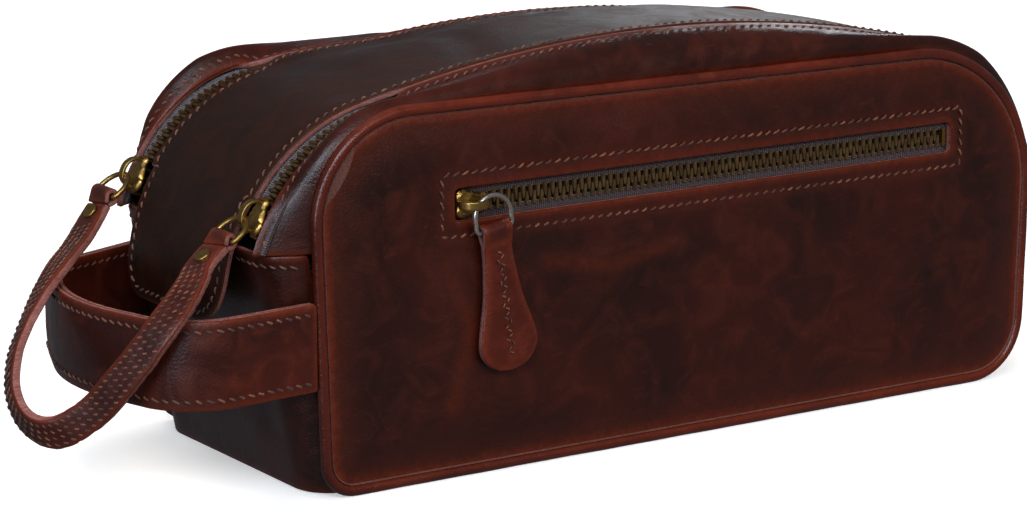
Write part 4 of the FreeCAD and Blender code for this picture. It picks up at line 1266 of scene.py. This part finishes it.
# ---- the handle
HANDLE_TURNS = [(-127.0, -48.3), (-169.0, -52.0), (-182.0, -6.0), (-166.0, 35.0), (-127.0, 49.5)]
HANDLE_RADII = [0.01, 19.0, 62.0, 17.0, 0.01]
HANDLE_ROW = 2.8
LAYER_GAP = 0.04


def make_handle():
    low_z, high_z = box_of("handle_outer")[0][2], box_of("handle_outer")[1][2]
    lines = rounded(HANDLE_TURNS, HANDLE_RADII)
    line = evenly(joined(*lines[1:-2]), 1.0)
    tangent = unit(np.gradient(line, axis=0))
    left = np.stack([-tangent[:, 1], tangent[:, 0]], 1)
    facing_out = left[len(line) // 2]
    rows = []
    for name, sign in (("outer", 1), ("inner", -1)):
        face = line + left * LEATHER * sign
        surface = ruled(upright(face, low_z), upright(face, high_z), (*(facing_out * sign), 0))
        long, wide = surface.length, surface.breadth
        outline = trimmed(surface, 0.1, 0.0, 0.4)
        high_row, low_row = (run((2, t), (long - 2, t)) for t in (wide - HANDLE_ROW, HANDLE_ROW))

        def relief(flat, gap):
            lift = -0.25 * crease(flat, high_row, 0.9) - 0.25 * crease(flat, low_row, 0.9)
            return lift + 0.25 * smooth(gap, 3, 9) - 0.35 * (1 - smooth(gap, 0, 2.6))

        leather(f"handle_{name}_leather", surface, outline, BELT_SKIN,
                ("bag", "handle_leather", f"handle_{name}"), (), relief,
                thick=LEATHER - LAYER_GAP, spacing=1.5, edge=0.5)
        rows += [(surface, high_row, -0.1), (surface, low_row, -0.1)]
    stitches("handle_stitches", rows, ("bag", "handle_leather"))


# ---- the pull strap
# Middle line of the strap from the front ring to the back ring, with the direction
# that its outer face looks in.
STRAP_ROUTE = [
    (-156.6, -38.0, 69.6, -0.55, -0.05, 0.83),
    (-162.6, -43.6, 66.2, -0.50, -0.22, 0.83),
    (-168.8, -48.0, 62.2, -0.48, -0.42, 0.77),
    (-175.2, -49.8, 56.8, -0.50, -0.55, 0.67),
    (-180.2, -46.6, 48.6, -0.54, -0.66, 0.52),
    (-184.4, -41.8, 40.8, -0.60, -0.70, 0.36),
    (-187.6, -37.0, 34.2, -0.68, -0.70, 0.18),
    (-191.6, -32.4, 29.2, -0.76, -0.62, -0.08),
    (-195.8, -27.4, 25.8, -0.85, -0.42, -0.28),
    (-199.2, -22.0, 26.0, -0.91, -0.18, -0.36),
    (-201.2, -16.6, 29.2, -0.95, -0.02, -0.30),
    (-200.8, -10.8, 35.0, -0.97, 0.08, -0.12),
    (-197.4, -5.4, 42.0, -0.93, 0.18, 0.14),
    (-193.0, -1.4, 47.2, -0.86, 0.26, 0.36),
    (-188.6, 2.2, 51.2, -0.76, 0.28, 0.52),
    (-183.4, 6.0, 55.8, -0.62, 0.26, 0.70),
    (-176.8, 11.2, 59.8, -0.48, 0.18, 0.84),
    (-169.6, 18.4, 62.2, -0.42, 0.14, 0.89),
    (-161.6, 26.4, 64.2, -0.45, 0.10, 0.88),
    (-153.8, 33.0, 68.6, -0.52, 0.05, 0.85),
]
STRAP_HALF = 4.7
STRAP_THICK = 2.8
FOLD_INNER = 0.95
FOLD_OUTER = 2.45
FOLD_STEPS = 25
STRAP_LEGS = (115, [3.6, 2.7], [-1.2, -1.5], [1.5, 1.2])
PULL_LEGS = (118, [4.6, 3.2], [-1.2, -1.5], [1.6, 1.3])
STRAP_TRIM = 3.2
STRAP_ROWS = (1.7, 3.7, 5.7, 7.7)
ROUGHNESS = 0.16
ROUGH_POINTS = 200


def strap_frame():
    """The strap's middle line, and the directions across it and out of its face."""
    bars = [place_of("strap_swing"), place_of("strap_swing") * (1, -1, 1)]
    route = np.array(STRAP_ROUTE)
    places = np.vstack([bars[0], route[:, :3], bars[1]])
    faces = np.vstack([route[:1, 3:], route[:, 3:], route[-1:, 3:]])
    line = curve_through(places)
    out = curve_through(faces)
    tangent = unit(np.gradient(line, axis=0))
    across = unit(np.cross(tangent, out))
    return line, across, np.cross(across, tangent)


def fold_over(name, body, bar, away, out, wide, legs):
    """A strap's end turned over a ring's bar.

    away points from the bar along the strap, out is the way its face looks, and wide is half
    the fold's width as a vector, at each point or one for all. legs holds the turn in degrees
    to each side, how far both ends lie along the strap, and their heights behind and in front.
    """
    degrees, reach, behind, front = legs
    turn = np.radians(np.linspace(-degrees, degrees, FOLD_STEPS))
    reach = np.concatenate([reach, -FOLD_OUTER * np.cos(turn), reach[::-1]])
    height = np.concatenate([behind, FOLD_OUTER * np.sin(turn), front])
    line = bar + reach[:, None] * away + height[:, None] * out
    surface = ruled(line - wide, line + wide, -away, 5)
    leather(name, surface, trimmed(surface, 0.1, 0.05, 0.4), BELT_SKIN, (body, "pull_leather"),
            thick=FOLD_OUTER - FOLD_INNER - 0.1, spacing=0.7, edge=0.3)


def strap_fold(name, bar, start, across, out):
    """The pull strap's fold, which turns level over the bar and joins the strap's own slant."""
    away = unit(start - bar)
    out = unit(out - away * (out @ away))
    across = unit(across)
    if across[1] < 0:
        across = -across
    share = np.concatenate([[0, 0.3], np.ones(FOLD_STEPS), [0.3, 0]])[:, None]
    wide = unit(across * (1 - share) + np.array([0.0, 1.0, 0.0]) * share) * STRAP_HALF
    fold_over(name, "strap", bar, away, out, wide, STRAP_LEGS)


def make_strap():
    line, across, out = strap_frame()
    way = travelled(line)
    trim = (way > STRAP_TRIM) & (way < way[-1] - STRAP_TRIM)
    line, across, out = line[trim], across[trim], out[trim]
    face = line + out * STRAP_THICK / 2
    surface = ruled(face - across * STRAP_HALF, face + across * STRAP_HALF, out[len(out) // 2])
    long, wide = surface.length, surface.breadth
    ragged = random.normal(0, ROUGHNESS, ROUGH_POINTS)

    def edge_line(t, sign):
        s = np.linspace(0.1, long - 0.1, ROUGH_POINTS)
        rough = ragged * smooth(s, 0, 12) * (1 - smooth(s, long - 12, long))
        return np.column_stack([s, t + sign * np.abs(rough) * (1 if sign > 0 else 0.4)])

    outline = np.vstack([edge_line(0.0, 1), edge_line(wide, -1)[::-1]])
    rows = [run((9, t), (long - 9, t)) for t in STRAP_ROWS]

    def relief(flat, gap):
        lift = -0.3 * (1 - smooth(gap, 0, 1.6))
        for row in rows:
            lift -= 0.12 * crease(flat, row, 0.7)
        return lift

    leather("pull_strap_leather", surface, outline, BELT_SKIN,
            ("strap", "pull_leather", "pull_strap"), (), relief, thick=STRAP_THICK, spacing=1.0,
            edge=0.45)
    for name, side, end in (("front", 1, 0), ("back", -1, -1)):
        strap_fold(f"{name}_strap_fold", place_of("strap_swing") * (1, side, 1), line[end],
                   across[end], out[end])
    stitches("pull_strap_stitches", [(surface, row, -0.05) for row in rows],
             ("strap", "pull_leather"), pitch=2.3, length=1.7, radius=0.3, slant=38)


# ---- pocket pull
def pull_frame():
    """The pocket pull's own frame: origin on its ring's bar, down, across and out."""
    bar = place_of("pocket_pull_swing")
    for entry in frame["record"]["behaviour"]["joints"]:
        if entry["name"] == "pocket_pull_swing":
            across = unit(-np.array(entry["axis"]))
    out = np.array([0.0, -1.0, 0.0])
    down = unit(np.cross(across, out))
    if down[2] > 0:
        down = -down
    return bar, down, across, out


PULL_SIDE = [(3.2, 4.6), (10, 4.9), (20, 6.3), (28, 8.4), (34, 9.5), (38, 8.0), (40.8, 4.6),
             (41.8, 0.0)]
PULL_THICK = 2.6
PULL_FRONT = 1.3


def make_pocket_pull():
    bar, down, across, out = pull_frame()
    surface = flat_frame(bar + out * PULL_FRONT, down, across, out)
    side = curve_through(np.array(PULL_SIDE), 12)
    outline = open_loop(joined(side, side[::-1] * (1, -1), side[:1]))
    if signed_area(outline) < 0:
        outline = outline[::-1]
    way = np.linspace(6, 37, 90)
    row = np.column_stack([way, 0.9 * np.sin(way * 1.9)])

    def relief(flat, gap):
        lift = -0.45 * (1 - smooth(gap, 0, 2.4)) - 0.25 * crease(flat, row, 1.2)
        return lift + 0.5 * crease(flat, [(3, -5), (3, 5)], 2.2)

    leather("pocket_pull_leather", surface, outline, BELT_SKIN,
            ("pocket_pull", "pull_leather", "pocket_pull"), (), relief, thick=PULL_THICK,
            spacing=0.9, edge=0.5)
    stitches("pocket_pull_stitches", [(surface, row, 0.0)], ("pocket_pull", "pull_leather"),
             pitch=1.9, length=1.5, radius=0.26, slant=0)
    fold_over("pocket_pull_fold", "pocket_pull", bar, down, out, across * STRAP_HALF, PULL_LEGS)


# ---- camera and light
def facing(place, aim):
    """A placement at a point, looking at another."""
    turn = (aim - place).to_track_quat("-Z", "Y")
    return Matrix.Translation(place) @ turn.to_matrix().to_4x4()


def placed(name, data, place, aim):
    """A camera or light at a place, looking at a point, both in metres."""
    thing = bpy.data.objects.new(name, data)
    bpy.context.scene.collection.objects.link(thing)
    thing.matrix_world = facing(Vector(place), Vector(aim))
    return thing


def make_camera():
    data = bpy.data.cameras.new("camera")
    data.sensor_width = 36.0
    data.lens = 129.6
    camera = placed("camera", data, (-0.6237, -0.9008, 0.2978), (-0.0297, 0.0, 0.0487))
    bpy.context.scene.camera = camera


def area_light(name, place, aim, size, power, colour):
    data = bpy.data.lights.new(name, "AREA")
    data.shape = "RECTANGLE"
    data.size, data.size_y = size
    data.energy = power
    data.color = colour
    return placed(name, data, place, aim)


def plain(name, colour, glow):
    """A pale surface that also glows a little, so that it stays even."""
    shade = Shade(name)
    tint = shade.ramp(shade.noise(3, 2), (0.3, colour), (0.7, colour * 1.02))
    return shade.set(Base_Color=tint, Roughness=0.9, Emission_Color=tint, Emission_Strength=glow)


FLOOR_HALF = 2.4
BACKDROP_R = 14.0
WORLD_COLOUR = (0.85, 0.9, 1.0, 1)
WORLD_STRENGTH = 0.14
BLUE, WHITE, WARM = (0.72, 0.84, 1.0), (0.93, 0.96, 1.0), (1.0, 0.94, 0.88)
MIDDLE = (0, 0, 0.06)
# Name, place, point aimed at, size, power and colour. The boxes also show as reflections.
BOXES = [
    ("side_box", (-1.35, -0.80, 0.35), (-0.12, -0.04, 0.06), (0.22, 0.8), 8, BLUE),
    ("corner_box", (-0.85, -1.15, 1.0), (-0.10, -0.05, 0.09), (0.6, 0.6), 10, BLUE),
    ("back_box", (0.95, 1.05, 0.55), (0.03, 0, 0.11), (0.35, 0.12), 1.2, WHITE),
    ("metal_box", (-0.2, -1.3, 0.75), MIDDLE, (0.3, 0.16), 3, WARM),
]
FILLS = [
    ("front_fill", (0.3, -1.4, 0.8), MIDDLE, (1.0, 0.8), 13, WARM),
    ("top_fill", (-0.2, 0.1, 1.6), MIDDLE, (1.2, 0.9), 16, WARM),
    ("back_fill", (0.3, 1.5, 0.8), MIDDLE, (1.0, 0.8), 9, WARM),
]


def make_studio():
    """A pale floor, a pale round backdrop that only the camera sees, and soft lights."""
    half, low = FLOOR_HALF, min(cad_box[0][2], 0.0)
    points = [(-half, -half, low), (half, -half, low), (half, half, low), (-half, half, low)]
    mesh = bpy.data.meshes.new("floor")
    mesh.from_pydata(points, [], [(0, 1, 2, 3)])
    mesh.materials.append(plain("pale_floor", 0.8, 0.55))
    floor = bpy.data.objects.new("floor", mesh)
    bpy.context.scene.collection.objects.link(floor)
    bpy.ops.mesh.primitive_uv_sphere_add(radius=BACKDROP_R, segments=48, ring_count=24)
    dome = bpy.context.object
    dome.name = "backdrop"
    dome.data.materials.append(plain("pale_backdrop", 0.95, 1.1))
    for seen in ("diffuse", "glossy", "transmission", "shadow"):
        setattr(dome, f"visible_{seen}", False)
    floor.visible_diffuse = False
    floor.visible_glossy = False
    world = bpy.data.worlds.new("studio")
    world.use_nodes = True
    background = world.node_tree.nodes["Background"]
    background.inputs["Color"].default_value = WORLD_COLOUR
    background.inputs["Strength"].default_value = WORLD_STRENGTH
    bpy.context.scene.world = world
    bpy.context.scene.view_settings.view_transform = "Standard"
    for box in BOXES:
        area_light(*box)
    for fill in FILLS:
        area_light(*fill).visible_glossy = False


# ---- build
make_camera()
make_studio()
make_panels()
make_piping()
make_ends()
make_base()
make_hinge_strip()
make_gussets()
make_lid()
make_main_zips()
make_pocket_zip()
make_handle()
make_strap()
make_pocket_pull()
make_sliders()
make_linings()
dress(["front_ring", "back_ring", "front_rivet", "back_rivet", "front_zip_stop",
       "back_zip_stop", "pocket_zip_stop"], BRASS)
dress(["pocket_ring"], NICKEL)
